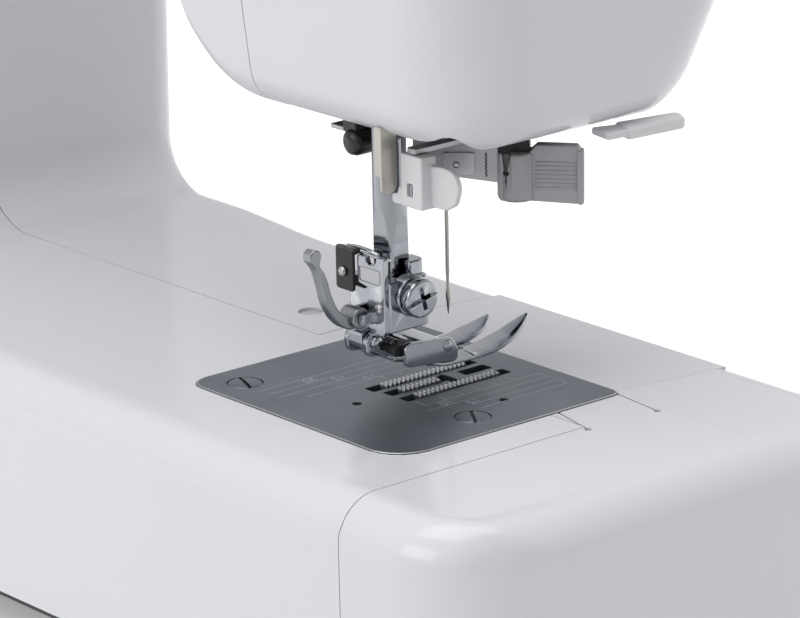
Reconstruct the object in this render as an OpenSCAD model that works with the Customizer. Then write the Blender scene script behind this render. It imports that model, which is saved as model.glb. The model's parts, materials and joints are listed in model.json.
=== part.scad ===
/* [Machine] */
// Height of the bed's top face above the table
bed_top = 64; // [60:1:70]
// Distance from the needle to the middle of the machine, along the bed
needle_offset = 110; // [110:0.5:112]
// Distance from the needle to the middle of the machine, front to back
needle_back = 7.15; // [6:0.05:8]
// Thickness of the moulded shells
wall = 2.6; // [2:0.1:3]
// Width of the seams between shells
seam = 0.3; // [0.2:0.05:0.5]

/* [Bed] */
// Free end of the bed, measured from the needle
free_end = -82.5; // [-84:0.5:-80]
// Back face of the bed, measured from the needle
bed_back = 68.7; // [66:0.1:70]
// Front face of the bed, measured from the needle
bed_front = -60.3; // [-62:0.1:-60]
// Radius of the bed's upright corners at the free end
bed_corner = 22; // [14:1:26]
// Radius of the bed's top edges
bed_edge = 9; // [6:1:11]
// Depth of the bed's side walls below its top face
skirt = 54.4; // [54:0.1:56]

/* [Head and arm] */
// Height of the head's underside above the bed
head_clear = 60; // [60:0.5:62]
// Height of the arm's underside above the bed
arm_clear = 112; // [110:1:116]
// Height of the arm's top above the bed
arm_top = 212; // [210:1:214]
// Back face of the arm, measured from the needle
arm_back = 24; // [24:0.5:26]
// Front face of the arm, measured from the needle
arm_front = -75; // [-77:0.5:-75]
// Free-end face of the head, measured from the needle
head_end = -33.8; // [-36:0.2:-33]
// Throat face of the pillar near the bed, measured from the needle
pillar_face = 178.5; // [176:0.5:182]
// Right-hand face of the casing, measured from the needle
right_end = 281; // [280:0.5:282]

/* [Needle and presser] */
// Diameter of the needle bar
needle_bar_d = 7.2; // [6.5:0.1:7.4]
// Height of the needle's point above the plate, needle up
needle_tip = 15.5; // [14:0.5:17]
// Length of the needle
needle_len = 38.5; // [37:0.5:39]
// Distance from the needle back to the presser bar
presser_back = 16; // [15.5:0.1:16.5]
// Diameter of the presser bar
presser_bar_d = 7.6; // [7:0.1:7.8]
// Height of the foot's cross pin above the plate, foot up
foot_pin_z = 14.6; // [14:0.1:15]
// Distance from the needle back to the foot's cross pin
foot_pin_y = 23.4; // [23:0.1:23.8]
// Droop of the free-hanging foot, in degrees
foot_droop = 5; // [3:1:6]

/* [Needle plate] */
// Pillar-side edge of the plate, measured from the needle
plate_right = 38.9; // [38:0.1:40]
// Free-end edge of the plate, measured from the needle
plate_left = -33.3; // [-34:0.1:-32]
// Back edge of the plate, measured from the needle
plate_back = 43.4; // [43:0.1:45]
// Front edge of the plate, measured from the needle
plate_front = -21.1; // [-21.4:0.1:-20.8]
// Thickness of the plate
plate_t = 1.6; // [1.4:0.1:1.8]

/* [Hidden] */
$fn = 64;

far = 500;
run = 0.05;                 // radial clearance of a running shaft
gap = 0.3;                  // clearance between moving faces
split_y = 0;                // the shells part in the needle's plane
cover_x = -44.5;            // end of the rear shell on the bed
belt_x = 262;               // joint of the belt cover
face_x = 37;                // face cover seam at the height below
face_z = 66;
face_lean = 0.17;           // how far the seam leans for each unit of height
shaft_z = 165;              // upper shaft
lower_y = -12;              // lower shaft
lower_z = -40;
shaft_r = 4.5;
lower_r = 4;
belt_x0 = 226;              // timing belt
belt_x1 = 236;
pulley_r = 11;
wheel_belt_x0 = 246;        // motor belt
wheel_belt_x1 = 255;
wheel_pulley_r = 19;
motor_y = 32;
motor_z = -20;
motor_pulley_r = 7;
hook_y = -30;               // hook's upright axis
hook_r = 27;
hook_top = -9.5;
cover_left = -31;           // opening over the hook
cover_right = 45.5;
cover_front = -55;
button_x = 61.8;
button_y = -10.3;
slot_w = 3.4;               // slots over the feed rows
row_w = 2.4;
row_x = [6.1, 1.1, -4.3];
row_y0 = [-9.6, 2, -10.6];
row_y1 = [14.8, 13.7, 13.7];
tooth_h = 0.9;
screw_at = [[29.4, 34.7], [-23.4, 13.5]];
bush_t = 1.2;                // wall of the needle-bar and presser-bar bushes
nb_r = needle_bar_d / 2;
pb_r = presser_bar_d / 2;
py = presser_back;
clamp_z = 45;
slot_x0 = -9.8;             // take-up slot in the face cover
slot_x1 = -3.2;
takeup_y = -30;
takeup_z = 150;
takeup_r = 48;
lifter_x = 11;
lifter_z = 92;
turn_x = -9.5;                // upright axis that the threader head turns on
turn_y = 16.8;
rod_x0 = -16.8;             // upright rod that the threader slides with
rod_y0 = -6;
dial_front = -83;
tension_at = [82, 164];
pattern_at = [228, 160];
length_at = [186, 176];
width_at = [186, 140];
reverse_at = [228, 112];
handle_y = -16;
handle_z = 205;
pin_x = 214;
pin_y = 10;
winder_x = 236;
winder_y = -26;

// Points along an arc, in the plane of the outline
function arc(c, r, a0, a1, n = 6) =
  [for (k = [0:n]) c + r * [cos(a0 + (a1 - a0) * k / n), sin(a0 + (a1 - a0) * k / n)]];

module at_needle() translate([-needle_offset, needle_back, bed_top]) children();
module box(a, b) translate(a) cube(b - a);
module rod_x(x0, x1, y, z, r) translate([x0, y, z]) rotate([0, 90, 0]) cylinder(h = x1 - x0, r = r);
module rod_y(y0, y1, x, z, r) translate([x, y1, z]) rotate([90, 0, 0]) cylinder(h = y1 - y0, r = r);
module rod_z(z0, z1, x, y, r) translate([x, y, z0]) cylinder(h = z1 - z0, r = r);
// Outlines drawn as [x, z] and run along y, or as [y, z] and run along x
module along_y(y0, y1) translate([0, y1, 0]) rotate([90, 0, 0]) linear_extrude(y1 - y0) children();
module along_x(x0, x1) translate([x0, 0, 0]) rotate([90, 0, 90]) linear_extrude(x1 - x0) children();

// ---- casing ----
module bed_plan(i) polygon(concat(
  arc([free_end + bed_corner, bed_back - bed_corner], bed_corner - i, 90, 180),
  arc([free_end + bed_corner, bed_front + bed_corner], bed_corner - i, 180, 270),
  arc([right_end - 16, bed_front + 16], 16 - i, 270, 360),
  arc([right_end - 16, bed_back - 16], 16 - i, 0, 90)));

module bed_section(i, low) polygon(concat(
  [[bed_front + i, low], [bed_back - i, low]],
  arc([bed_back - bed_edge, -bed_edge], bed_edge - i, 0, 90),
  arc([bed_front + bed_edge, -bed_edge], bed_edge - i, 90, 180)));

module upper_side() polygon(concat(
  [[pillar_face - 17, -skirt], [right_end, -skirt]],
  arc([right_end - 20, arm_top - 20], 20, 0, 90),
  arc([head_end + 18, arm_top - 18], 18, 90, 180),
  arc([head_end + 9, head_clear + 9], 9, 180, 270),
  [[41, head_clear], [47, head_clear + 1.1], [53, head_clear + 4.8], [60, head_clear + 9.6]],
  [[64.7, head_clear + 19.9]],
  arc([88.6, arm_clear - 10], 10, 155, 90),
  arc([pillar_face - 3, arm_clear - 15], 15, 90, -8),
  arc([pillar_face - 17, 17], 17, -8, -90)));

module arm_section() polygon(concat(
  [[-48, head_clear - 2], [arm_back - 7, head_clear - 2], [arm_back, head_clear + 7]],
  arc([arm_back - 14, arm_top - 14], 14, 0, 90),
  arc([arm_front + 14, arm_top - 14], 14, 90, 180),
  [[arm_front, 105], [-61.4, 81], [-56.5, 73]]));

module pillar_section() polygon(concat(
  [[bed_front, -skirt], [bed_back, -skirt], [bed_back, 2], [bed_back - 16, 40]],
  [[arm_back + 15, 84], [arm_back + 6, 128], [arm_back, 170]],
  arc([arm_back - 14, arm_top - 14], 14, 0, 90),
  arc([arm_front + 14, arm_top - 14], 14, 90, 180),
  [[arm_front, 105], [bed_front, 4]]));

module bed_block(i, low) {
  intersection() {
    translate([0, 0, low]) linear_extrude(-low - i + 0.001) bed_plan(i);
    along_x(free_end, right_end) bed_section(i, low);
  }
}

module upper_block(i, low) {
  intersection() {
    along_y(-far, far) offset(delta = -i) upper_side();
    union() {
      along_x(head_end, right_end) offset(delta = -i) arm_section();
      along_x(pillar_face - 20, right_end) offset(delta = -i) pillar_section();
    }
    box([-far, -far, low], [far, far, far]);
  }
}

module casing() {
  difference() {
    union() {
      bed_block(0, -skirt);
      upper_block(0, -skirt);
    }
    bed_block(wall, -skirt - 1);
    upper_block(wall, -skirt - 1);
    box([pillar_face - 14, bed_front + wall, -skirt - 1], [right_end - wall, bed_back - wall, -skirt + 4]);
  }
}

// Region that the face cover fills, grown or shrunk by g
module face_region(g) along_y(-far, far) polygon([
  [-far, head_clear - 10], [face_x - face_lean * (face_z - head_clear + 10) + g, head_clear - 10],
  [face_x + face_lean * (arm_top + 10 - face_z) + g, arm_top + 10], [-far, arm_top + 10]]);

module handle_pocket(i) box([70 - i, -56 - i, 194 - i], [206 + i, -6 + i, arm_top + (i > 0 ? 0 : 1)]);

module front_shell() color("white") at_needle() difference() {
  union() {
    difference() {
      casing();
      face_region(seam / 2);
      box([belt_x - seam / 2, -far, -far], [far, far, far]);
      box([cover_x - seam / 2, split_y - seam / 2, -far], [far, far, far]);
    }
    intersection() {
      handle_pocket(2);
      box([-far, -far, 0], [far, split_y - seam / 2, arm_top]);
    }
  }
  handle_pocket(0);
  rod_x(67, 209, handle_y, handle_z, 2 + run);
  box([plate_left - gap, plate_front - gap, -9], [plate_right + gap, plate_back + gap, 1]);
  box([cover_left - gap, cover_front - gap, -9], [cover_right + gap, plate_front, 1]);
  box([-48, -1.4, -9], [plate_left, -0.8, 1]);
  box([-48, -19.6, -9], [plate_left, -19, 1]);
  rod_z(-9, 1, button_x, button_y, 2.8 + run);
  rod_y(-far, -60, tension_at[0], tension_at[1], 4 + run);
  rod_y(-far, -60, pattern_at[0], pattern_at[1], 4 + run);
  rod_y(-far, -60, length_at[0], length_at[1], 4 + run);
  rod_y(-far, -60, width_at[0], width_at[1], 4 + run);
  box([reverse_at[0] - 6.4, -far, reverse_at[1] - 13], [reverse_at[0] + 6.4, -60, reverse_at[1] + 13]);
  rod_z(arm_top - 9, arm_top + 1, winder_x, winder_y, 4 + run);
}

module rear_shell() color("white") at_needle() difference() {
  casing();
  face_region(seam / 2);
  box([belt_x - seam / 2, -far, -far], [far, far, far]);
  box([-far, -far, -far], [cover_x + seam / 2, far, 30]);
  box([-far, -far, -far], [far, split_y + seam / 2, far]);
  box([plate_left - gap, plate_front - gap, -9], [plate_right + gap, plate_back + gap, 1]);
  rod_z(arm_top - 9, arm_top + 1, pin_x, pin_y, 2.6 + run);
}

module face_cover() color("white") at_needle() difference() {
  intersection() {
    casing();
    face_region(-seam / 2);
  }
  box([-26, -36, head_clear - 5], [33.6, 20, head_clear + 6]);
  box([slot_x0, -far, 112], [slot_x1, -60, 190]);
}

module belt_cover() color("white") at_needle() difference() {
  intersection() {
    casing();
    box([belt_x + seam / 2, -far, -far], [far, far, far]);
  }
  rod_x(belt_x, far, 0, shaft_z, shaft_r + 1);
  box([belt_x, 22, -44], [far, 46, -24]);
  box([belt_x, 25, -10], [far, 43, 14]);
}

module base_tray() color("#3a3b3e") at_needle() difference() {
  translate([0, 0, -skirt - 3]) linear_extrude(2.9) bed_plan(3);
  for (x = [-58, 256], y = [-38, 46]) rod_z(-skirt - 4, -skirt, x, y, 2.2);
}

module rubber_feet() color("#202022") at_needle()
  for (x = [-58, 256], y = [-38, 46])
    difference() {
      rod_z(-bed_top, -skirt - 3, x, y, 11);
      rod_z(-bed_top - 1, -bed_top + 3.6, x, y, 5);
      rod_z(-bed_top, -skirt, x, y, 2.2);
    }

module case_screws() color("silver") at_needle()
  for (x = [-58, 256], y = [-38, 46]) {
    rod_z(-bed_top + 1, -bed_top + 3.6, x, y, 4);
    rod_z(-bed_top + 3.6, -skirt + 8, x, y, 2);
  }

module inner_frame() color("#9a9ca0") at_needle() difference() {
  union() {
    box([-60, 30, -50], [164, 60, -44]);
    box([-50, 44, -44], [160, 50, -14]);
    box([30, -22, -50], [42, 30, -30]);
    box([190, -22, -50], [202, 2, -30]);
    box([158, 44, -50], [164, 60, -5]);
    box([120, -50, -50], [222, -26, -44]);
    box([196, -50, -44], [216, -26, 150]);
    box([196, -26, -50], [202, -22, -30]);
    box([30, -50, -50], [120, -26, -44]);
    box([14, -50, 122], [216, -30, 146]);
    box([44, -30, 130], [54, 10, 178]);
    box([196, -30, 130], [206, 10, 178]);
    box([-16, -44, 68], [-10.5, 20, 182]);
    box([-16, -44, 122], [14, -38, 131]);
    box([-10.5, -8, 68], [8, 20.6, 76]);
    box([-10.5, -8, 100], [8, 8, 108]);
    box([-10.5, 9, 170], [6.4, 21.2, 178]);
    box([-16, 19, 88], [15, 21.2, 96]);
    rod_y(12.6, 20.6, lifter_x, lifter_z, 2);
    rod_x(-12, -3.6, takeup_y, takeup_z, 2);
  }
  rod_x(40, 60, 0, shaft_z, 7.5);
  rod_x(190, 220, 0, shaft_z, 7.5);
  rod_x(20, 50, lower_y, lower_z, 7);
  rod_x(186, 206, lower_y, lower_z, 7);
  rod_z(60, 190, 0, 0, nb_r + bush_t);
  rod_z(60, 77, 0, py, pb_r + bush_t);
  rod_z(80, 99, 0, py, pb_r + gap);
  rod_z(160, 180, 0, py, pb_r + bush_t);
  box([-18, -14, 60], [-9, -2, 92]);
  for (x = [-58, 256], y = [-38, 46]) rod_z(-51, -46, x, y, 2);
}

module shaft_bushes() color("#b08d4c") at_needle() {
  for (x = [44, 196]) difference() {
    rod_x(x, x + 10, 0, shaft_z, 7.5);
    rod_x(x - 1, x + 11, 0, shaft_z, shaft_r + run);
  }
  for (x = [30, 190]) difference() {
    rod_x(x, x + 12, lower_y, lower_z, 7);
    rod_x(x - 1, x + 13, lower_y, lower_z, lower_r + run);
  }
}

module bar_bushes() color("#b08d4c") at_needle() {
  for (z = [68, 100]) difference() {
    rod_z(z, z + 8, 0, 0, nb_r + bush_t);
    rod_z(z - 1, z + 9, 0, 0, nb_r + run);
  }
  for (z = [68, 170]) difference() {
    rod_z(z, z + 8, 0, py, pb_r + bush_t);
    rod_z(z - 1, z + 9, 0, py, pb_r + run);
  }
}

// ---- needle plate, feed and hook ----
module needle_plate() color("#71767d") at_needle() difference() {
  translate([0, 0, -plate_t]) linear_extrude(plate_t) polygon(concat(
    arc([plate_right - 5, plate_back - 5], 5, 0, 90),
    arc([plate_left + 8, plate_back - 8], 8, 90, 180),
    arc([plate_left + 2.5, plate_front + 2.5], 2.5, 180, 270),
    arc([plate_right - 2.5, plate_front + 2.5], 2.5, 270, 360)));
  for (k = [0:2]) box([row_x[k] - slot_w / 2, row_y0[k] - 2.6, -3], [row_x[k] + slot_w / 2, row_y1[k] + 3.4, 1]);
  box([row_x[1] - slot_w / 2, row_y0[0] - 2.6, -3], [row_x[1] + slot_w / 2, -4.4, 1]);
  box([-3.5, -1.1, -3], [3.5, 1.1, 1]);
  for (p = screw_at) rod_z(-3, 1, p[0], p[1], 2.1);
  for (p = screw_at) rod_z(-0.9, 1, p[0], p[1], 4.1);
  rod_z(-3, 1, 0.8, 26, 1.1);
  rod_z(-3, 1, -19.4, 1, 1.1);
}

module plate_screws() color("#8a8e94") at_needle()
  for (p = screw_at) difference() {
    union() {
      rod_z(-0.9, 0, p[0], p[1], 4);
      rod_z(-8, -0.9, p[0], p[1], 2);
    }
    translate([p[0], p[1], 0]) rotate([0, 0, -22]) cube([9, 1, 1], center = true);
  }

module hook_cover() color("white") at_needle() {
  box([cover_left, cover_front, -2], [cover_right, plate_front - gap, 0]);
  box([cover_left + 1, cover_front + 6, -4], [cover_left + 3, plate_front - 4, -2]);
}

module cover_button() color("#d8d9dc") at_needle() {
  rod_z(-6, -0.4, button_x, button_y, 2.8);
  rod_z(-8, -6, button_x, button_y, 4.2);
}

module feed_bar() color("#85888d") at_needle() {
  box([-3.5, 4, -11], [5.5, 20, -8.2]);
  box([-8, 20, -14], [60, 26, -8.2]);
  box([50, 20, -36], [60, 26, -14]);
}

module feed_row(k) {
  x0 = row_x[k] - row_w / 2;
  pitch = 1.2;
  count = floor((row_y1[k] - row_y0[k]) / pitch);
  box([x0, row_y0[k], -2.6], [x0 + row_w, row_y1[k], tooth_h - 0.7]);
  translate([x0, 0, 0]) rotate([90, 0, 90]) linear_extrude(row_w) for (j = [0:count - 1])
    polygon([[row_y0[k] + j * pitch, tooth_h - 0.71], [row_y0[k] + (j + 0.9) * pitch, tooth_h - 0.71],
             [row_y0[k] + (j + 0.9) * pitch, tooth_h]]);
}

module feed_dog() color("#a9adb2") at_needle() {
  for (k = [0:2]) feed_row(k);
  box([row_x[2] - row_w / 2, 2, -5], [row_x[0] + row_w / 2, 13.7, -2.5]);
}

module hook_race() color("#b4b7bb") at_needle() difference() {
  union() {
    rod_z(-24, hook_top, 0, hook_y, hook_r);
    rod_z(-48, -24, 0, hook_y, 4);
    rod_z(-45, -35, 0, hook_y, 8.8);
  }
  rod_z(-21.5, 1, 0, hook_y, hook_r - 3);
}

module bobbin_case() color("#2c2d30") at_needle() difference() {
  rod_z(-21.2, hook_top, 0, hook_y, hook_r - 3.4);
  rod_z(-20, 1, 0, hook_y, 11);
}

module bobbin() color("#e6e9ec") at_needle() difference() {
  union() {
    rod_z(-19.7, -18.7, 0, hook_y, 10.2);
    rod_z(-19.7, -10, 0, hook_y, 4.6);
    rod_z(-11, -10, 0, hook_y, 10.2);
  }
  rod_z(-21, 0, 0, hook_y, 3);
}

// ---- drive ----
module lower_shaft() color("silver") at_needle() {
  rod_x(-8, 240, lower_y, lower_z, lower_r);
  difference() {
    rod_x(-6, 6, lower_y, lower_z, 8.8);
    rod_x(-7, 7, lower_y, lower_z, lower_r);
  }
}

module upper_shaft() color("silver") at_needle() rod_x(14, 296, 0, shaft_z, shaft_r);

module pulley(x0, x1, y, z, r, bore) difference() {
  union() {
    rod_x(x0, x1, y, z, r);
    rod_x(x0 - 1, x0, y, z, r + 1);
    rod_x(x1, x1 + 1, y, z, r + 1);
  }
  rod_x(x0 - 2, x1 + 2, y, z, bore);
}

module upper_pulleys() color("#55585c") at_needle() {
  pulley(belt_x0, belt_x1, 0, shaft_z, pulley_r, shaft_r);
  pulley(wheel_belt_x0, wheel_belt_x1, 0, shaft_z, wheel_pulley_r, shaft_r);
}

module lower_pulley() color("#55585c") at_needle()
  pulley(belt_x0, belt_x1, lower_y, lower_z, pulley_r - 0.4, lower_r);

module belt_loop(a, ra, b, rb, t, x0, x1) along_x(x0, x1) difference() {
  hull() {
    translate(a) circle(r = ra + t, $fn = 32);
    translate(b) circle(r = rb + t, $fn = 32);
  }
  hull() {
    translate(a) circle(r = ra, $fn = 32);
    translate(b) circle(r = rb, $fn = 32);
  }
}

module timing_belt() color("#1d1d1f") at_needle()
  belt_loop([0, shaft_z], pulley_r + gap, [lower_y, lower_z], pulley_r + gap, 1.4, belt_x0 + 0.6, belt_x1 - 0.6);

module motor_belt() color("#1d1d1f") at_needle()
  belt_loop([0, shaft_z], wheel_pulley_r + gap, [motor_y, motor_z], motor_pulley_r + gap, 1.6,
            wheel_belt_x0 + 0.6, wheel_belt_x1 - 0.6);

module motor() color("#4c4e52") at_needle() difference() {
  union() {
    rod_x(184, 232, motor_y, motor_z, 26);
    box([190, motor_y - 14, -50], [226, motor_y + 14, motor_z - 12]);
  }
  rod_x(222, 240, motor_y, motor_z, 3 + run);
}

module motor_pulley() color("silver") at_needle() {
  pulley(wheel_belt_x0, wheel_belt_x1, motor_y, motor_z, motor_pulley_r, 3);
  rod_x(223, wheel_belt_x1 + 2, motor_y, motor_z, 3);
}

module handwheel() color("white") at_needle() difference() {
  union() {
    rod_x(right_end + 2.5, right_end + 21.5, 0, shaft_z, 28);
    rod_x(right_end + 0.6, right_end + 2.5, 0, shaft_z, 12);
  }
  rod_x(right_end - 1, 296, 0, shaft_z, shaft_r);
}

// ---- needle side ----
module needle_bar() color("silver") at_needle() difference() {
  rod_z(clamp_z + 4, 168, 0, 0, nb_r);
  rod_z(clamp_z + 3, needle_tip + needle_len, 0, 0, 1.02);
}

module needle_crank() color("#85888d") at_needle() {
  difference() {
    rod_x(14, 22, 0, shaft_z, 19);
    rod_x(13, 23, 0, shaft_z, shaft_r);
  }
  rod_x(12.4, 14, 0, shaft_z + 14, 3);
}

module needle_link() color("#85888d") at_needle() difference() {
  union() {
    box([-6, -6, 152], [9.5, 6, 160]);
    box([6, -5, 158], [9.5, 5, 177]);
    rod_x(6, 9.5, 0, 179, 6);
  }
  rod_z(150, 162, 0, 0, nb_r);
  rod_x(5, 11, 0, 179, 3.2);
}

module needle_clamp() color("silver") at_needle() difference() {
  union() {
    rod_z(clamp_z + 3, clamp_z + 11, 0, 0, 5.2);
    box([-2.6, -8.6, clamp_z + 4], [2.6, 0, clamp_z + 10]);
  }
  rod_z(clamp_z + 4, clamp_z + 12, 0, 0, nb_r);
  rod_z(clamp_z + 2, clamp_z + 5, 0, 0, 1.02);
  rod_x(-4, 9, -6.4, clamp_z + 7, 1.5);
}

module clamp_screw() color("silver") at_needle() {
  rod_x(-2.6, 5, -6.4, clamp_z + 7, 1.5);
  rod_x(5, 11, -6.4, clamp_z + 7, 3.2);
}

module needle() color("silver") at_needle() {
  rod_z(needle_tip + 29, needle_tip + needle_len, 0, 0, 1);
  rod_z(needle_tip + 3, needle_tip + 29, 0, 0, 0.45);
  translate([0, 0, needle_tip]) cylinder(h = 3, r1 = 0.08, r2 = 0.45);
}

module take_up_lever() color("silver") at_needle() translate([0, takeup_y, takeup_z]) rotate([-34, 0, 0])
  difference() {
    union() {
      rod_x(-10, -4, 0, 0, 5);
      box([-8, -takeup_r + 3, -3.5], [-5, -4, 3.5]);
      rod_x(-8, -5, -takeup_r + 3, 0, 3.5);
    }
    rod_x(-11, -3, -takeup_r + 3, 0, 1.4);
    rod_x(-11, -3, 0, 0, 2 + run);
  }

// ---- presser side ----
module presser_bar() color("silver") at_needle() {
  rod_z(24, 184, 0, py, pb_r);
  difference() {
    rod_z(118, 124, 0, py, 5.2);
    rod_z(117, 125, 0, py, pb_r);
  }
}

module presser_spring() color("#606469") at_needle() difference() {
  rod_z(124.4, 169.6, 0, py, pb_r + 1.4);
  rod_z(124, 170, 0, py, pb_r + 0.5);
}

module lifter_lever() color("#2a2a2c") at_needle() {
  difference() {
    rod_y(py - 3, py + 2.6, lifter_x, lifter_z, 5);
    rod_y(py - 4, py + 4, lifter_x, lifter_z, 2 + run);
  }
  box([lifter_x - 2.5, py - 2, 58], [lifter_x + 2.5, py + 2, lifter_z - 4]);
  rod_y(py - 5, py + 5, lifter_x, 55.4, 4);
  box([lifter_x, py - 3, 57.6], [lifter_x + 7, py + 3, 59]);
}

module ankle() color("#b9bcc0") at_needle() difference() {
  union() {
    box([-6, 10.5, 16], [8, 22, 33]);
    box([-6, 22, 20], [8, 23.6, 33.4]);
    box([-4, 20.6, 12.8], [4, 26.2, 17.2]);
    rod_x(-3.4, 4.4, 26.4, 20.4, 1);
    box([-3.4, 23.6, 19.4], [-2.3, 27.4, 21.4]);
    box([3.3, 23.6, 19.4], [4.4, 27.4, 21.4]);
  }
  rod_z(24, 40, 0, py, pb_r);
  rod_x(-8, -3, 16.8, 25, 2);
  box([-7, 19.5, 15], [-4, 30, 17.6]);
  box([4, 19.5, 15], [9, 30, 17.6]);
  foot_tilt() rod_x(-5, 5, foot_pin_y, foot_pin_z, 1.1 + run);
}

module thumb_screw() color("silver") at_needle() difference() {
  union() {
    rod_x(-11.4, -6.2, 16.8, 25, 4.4);
    rod_x(-6.2, -3.9, 16.8, 25, 2);
  }
  box([-12, 12, 24.4], [-10.6, 22, 25.6]);
}

module snap_lever() color("#9fa3a8") at_needle() difference() {
  union() {
    along_x(-1, 2) polygon(concat([[25, 17.9], [28, 17.6]], arc([26, 27], 9.8, -70, -10),
      [[37.6, 33], [39.6, 35.4], [37.6, 38.6], [34.6, 37.6]], arc([26, 28], 7.2, 10, -80), [[25, 22.4]]));
    rod_x(-2, 3, 26.4, 20.4, 2.4);
  }
  rod_x(-3, 4, 26.4, 20.4, 1 + run);
}

module snap_clip() color("#1c1c1e") at_needle() {
  box([2.6, 23.7, 25], [8.6, 24.7, 34.4]);
  box([2.6, 20, 33.5], [8.6, 24.7, 34.4]);
  rod_y(24.7, 25.3, 5.6, 28.6, 1.1);
}

module foot_tilt() translate([0, foot_pin_y, foot_pin_z]) rotate([foot_droop, 0, 0])
  translate([0, -foot_pin_y, -foot_pin_z]) children();

module presser_foot() color("silver") at_needle() foot_tilt() difference() {
  union() {
    box([-8.2, -8, 8.4], [8.2, 24, 10.2]);
    along_x(-8.2, -2.6) polygon([[-7.9, 8.4], [-7.9, 10.2], [-13.5, 12.2], [-17.8, 15], [-18.6, 14], [-14, 10.6]]);
    along_x(2.6, 8.2) polygon([[-7.9, 8.4], [-7.9, 10.2], [-13.5, 12.2], [-17.8, 15], [-18.6, 14], [-14, 10.6]]);
    box([-8.2, 2, 10.2], [-6.6, 18.5, 14.6]);
    box([6.6, 2, 10.2], [8.2, 18.5, 14.6]);
    for (x = [-6.2, 4.6]) {
      rod_x(x, x + 1.6, foot_pin_y, foot_pin_z, 2.6);
      box([x, foot_pin_y - 2.6, 10], [x + 1.6, foot_pin_y + 2.4, foot_pin_z]);
    }
  }
  rod_x(-9, 9, foot_pin_y, foot_pin_z, 1.1);
  box([-3.6, -1.6, 5], [3.6, 3.4, 12]);
  box([-0.9, -12, 5], [0.9, 0, 12]);
}

module foot_pin() color("silver") at_needle() foot_tilt() rod_x(-6.6, 6.6, foot_pin_y, foot_pin_z, 1.1);

// ---- threader ----
module threader_post() color("#c9c2b2") at_needle() {
  box([-5.6, 15.6, 49], [-4.9, 19.6, 68]);
  box([-4.9, 18.9, 49], [-2.8, 19.6, 60]);
}

module threader_arm() translate([rod_x0, rod_y0, 49.5]) rotate([0, 0, 45]) box([2.4, -0.8, 0], [17, 0.8, 9.3]);

module threader_slider() color("#a3a6ab") at_needle() {
  rod_z(46, 88, rod_x0, rod_y0, 2);
  difference() {
    threader_arm();
    rod_z(40, 90, rod_x0, rod_y0, 4.6);
  }
  box([-11.6, 0.6, 57.4], [-8.6, 18.4, 58.8]);
  rod_z(46, 57.4, turn_x, turn_y, 0.8);
}

module threader_lever() color("#a3a6ab") at_needle() difference() {
  union() {
    rod_z(44.6, 55.7, rod_x0, rod_y0, 4.6);
    translate([rod_x0, rod_y0, 44.7]) rotate([0, 0, 225]) box([3, -1.6, 0], [14.4, 1.6, 12.6]);
  }
  rod_z(40, 60, rod_x0, rod_y0, 2);
}

module threader_head() color("white") at_needle() difference() {
  union() {
    box([-13.9, 14.2, 45.4], [-6.9, 18.7, 57]);
    box([-22.8, 14.4, 46], [-13.9, 16, 55.2]);
  }
  rod_z(44, 58, turn_x, turn_y, 0.8 + run);
}

module thread_cutter() color("white") at_needle() box([-36.6, -43, 56.2], [-24, -19, 59.2]);

// ---- controls and rest ----
module dial(at, r) at_needle() {
  rod_y(dial_front, arm_front - gap, at[0], at[1], r);
  rod_y(arm_front - gap, -62, at[0], at[1], 4);
}

module tension_dial() color("#e9eaec") dial(tension_at, 13);
module pattern_dial() color("#e9eaec") dial(pattern_at, 22);
module length_dial() color("#e9eaec") dial(length_at, 12);
module width_dial() color("#e9eaec") dial(width_at, 12);

module reverse_lever() color("#d9dbde") at_needle() {
  rod_x(reverse_at[0] - 6, reverse_at[0] + 6, -60, reverse_at[1], 5);
  box([reverse_at[0] - 6, dial_front + 0.4, reverse_at[1] - 4], [reverse_at[0] + 6, -60, reverse_at[1] + 4]);
}

module winder_spindle() color("#e9eaec") at_needle() {
  rod_z(204, arm_top + 3, winder_x, winder_y, 4);
  rod_z(arm_top + 3, arm_top + 14, winder_x, winder_y, 3);
}

module spool_pin() color("#e9eaec") at_needle() {
  rod_z(172, arm_top + 1.5, pin_x, pin_y, 2.6);
  rod_z(arm_top + 1.5, arm_top + 4, pin_x, pin_y, 5);
}

module carry_handle() color("white") at_needle() {
  box([74, -50, 200], [202, -38, 210]);
  box([74, -38, 200], [84, -16, 210]);
  box([192, -38, 200], [202, -16, 210]);
  rod_x(74, 84, handle_y, handle_z, 5);
  rod_x(192, 202, handle_y, handle_z, 5);
  rod_x(68.2, 74, handle_y, handle_z, 2);
  rod_x(202, 207.8, handle_y, handle_z, 2);
}

module lamp() color("#f4f3ea") at_needle() box([-25.4, -30, 60.6], [-17.5, -14, 65.4]);

module power_inlet() color("#1b1b1d") at_needle() difference() {
  box([belt_x + 4, 22.4, -43.6], [right_end - 0.4, 45.6, -24.4]);
  box([belt_x + 8, 24.4, -41.6], [right_end + 1, 43.6, -26.4]);
}

module power_switch() color("#1b1b1d") at_needle() intersection() {
  rod_y(25.4, 42.6, right_end - 9, 2, 11);
  box([belt_x + 2, 25.4, -9], [right_end + 1.6, 42.6, 13]);
}

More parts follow.
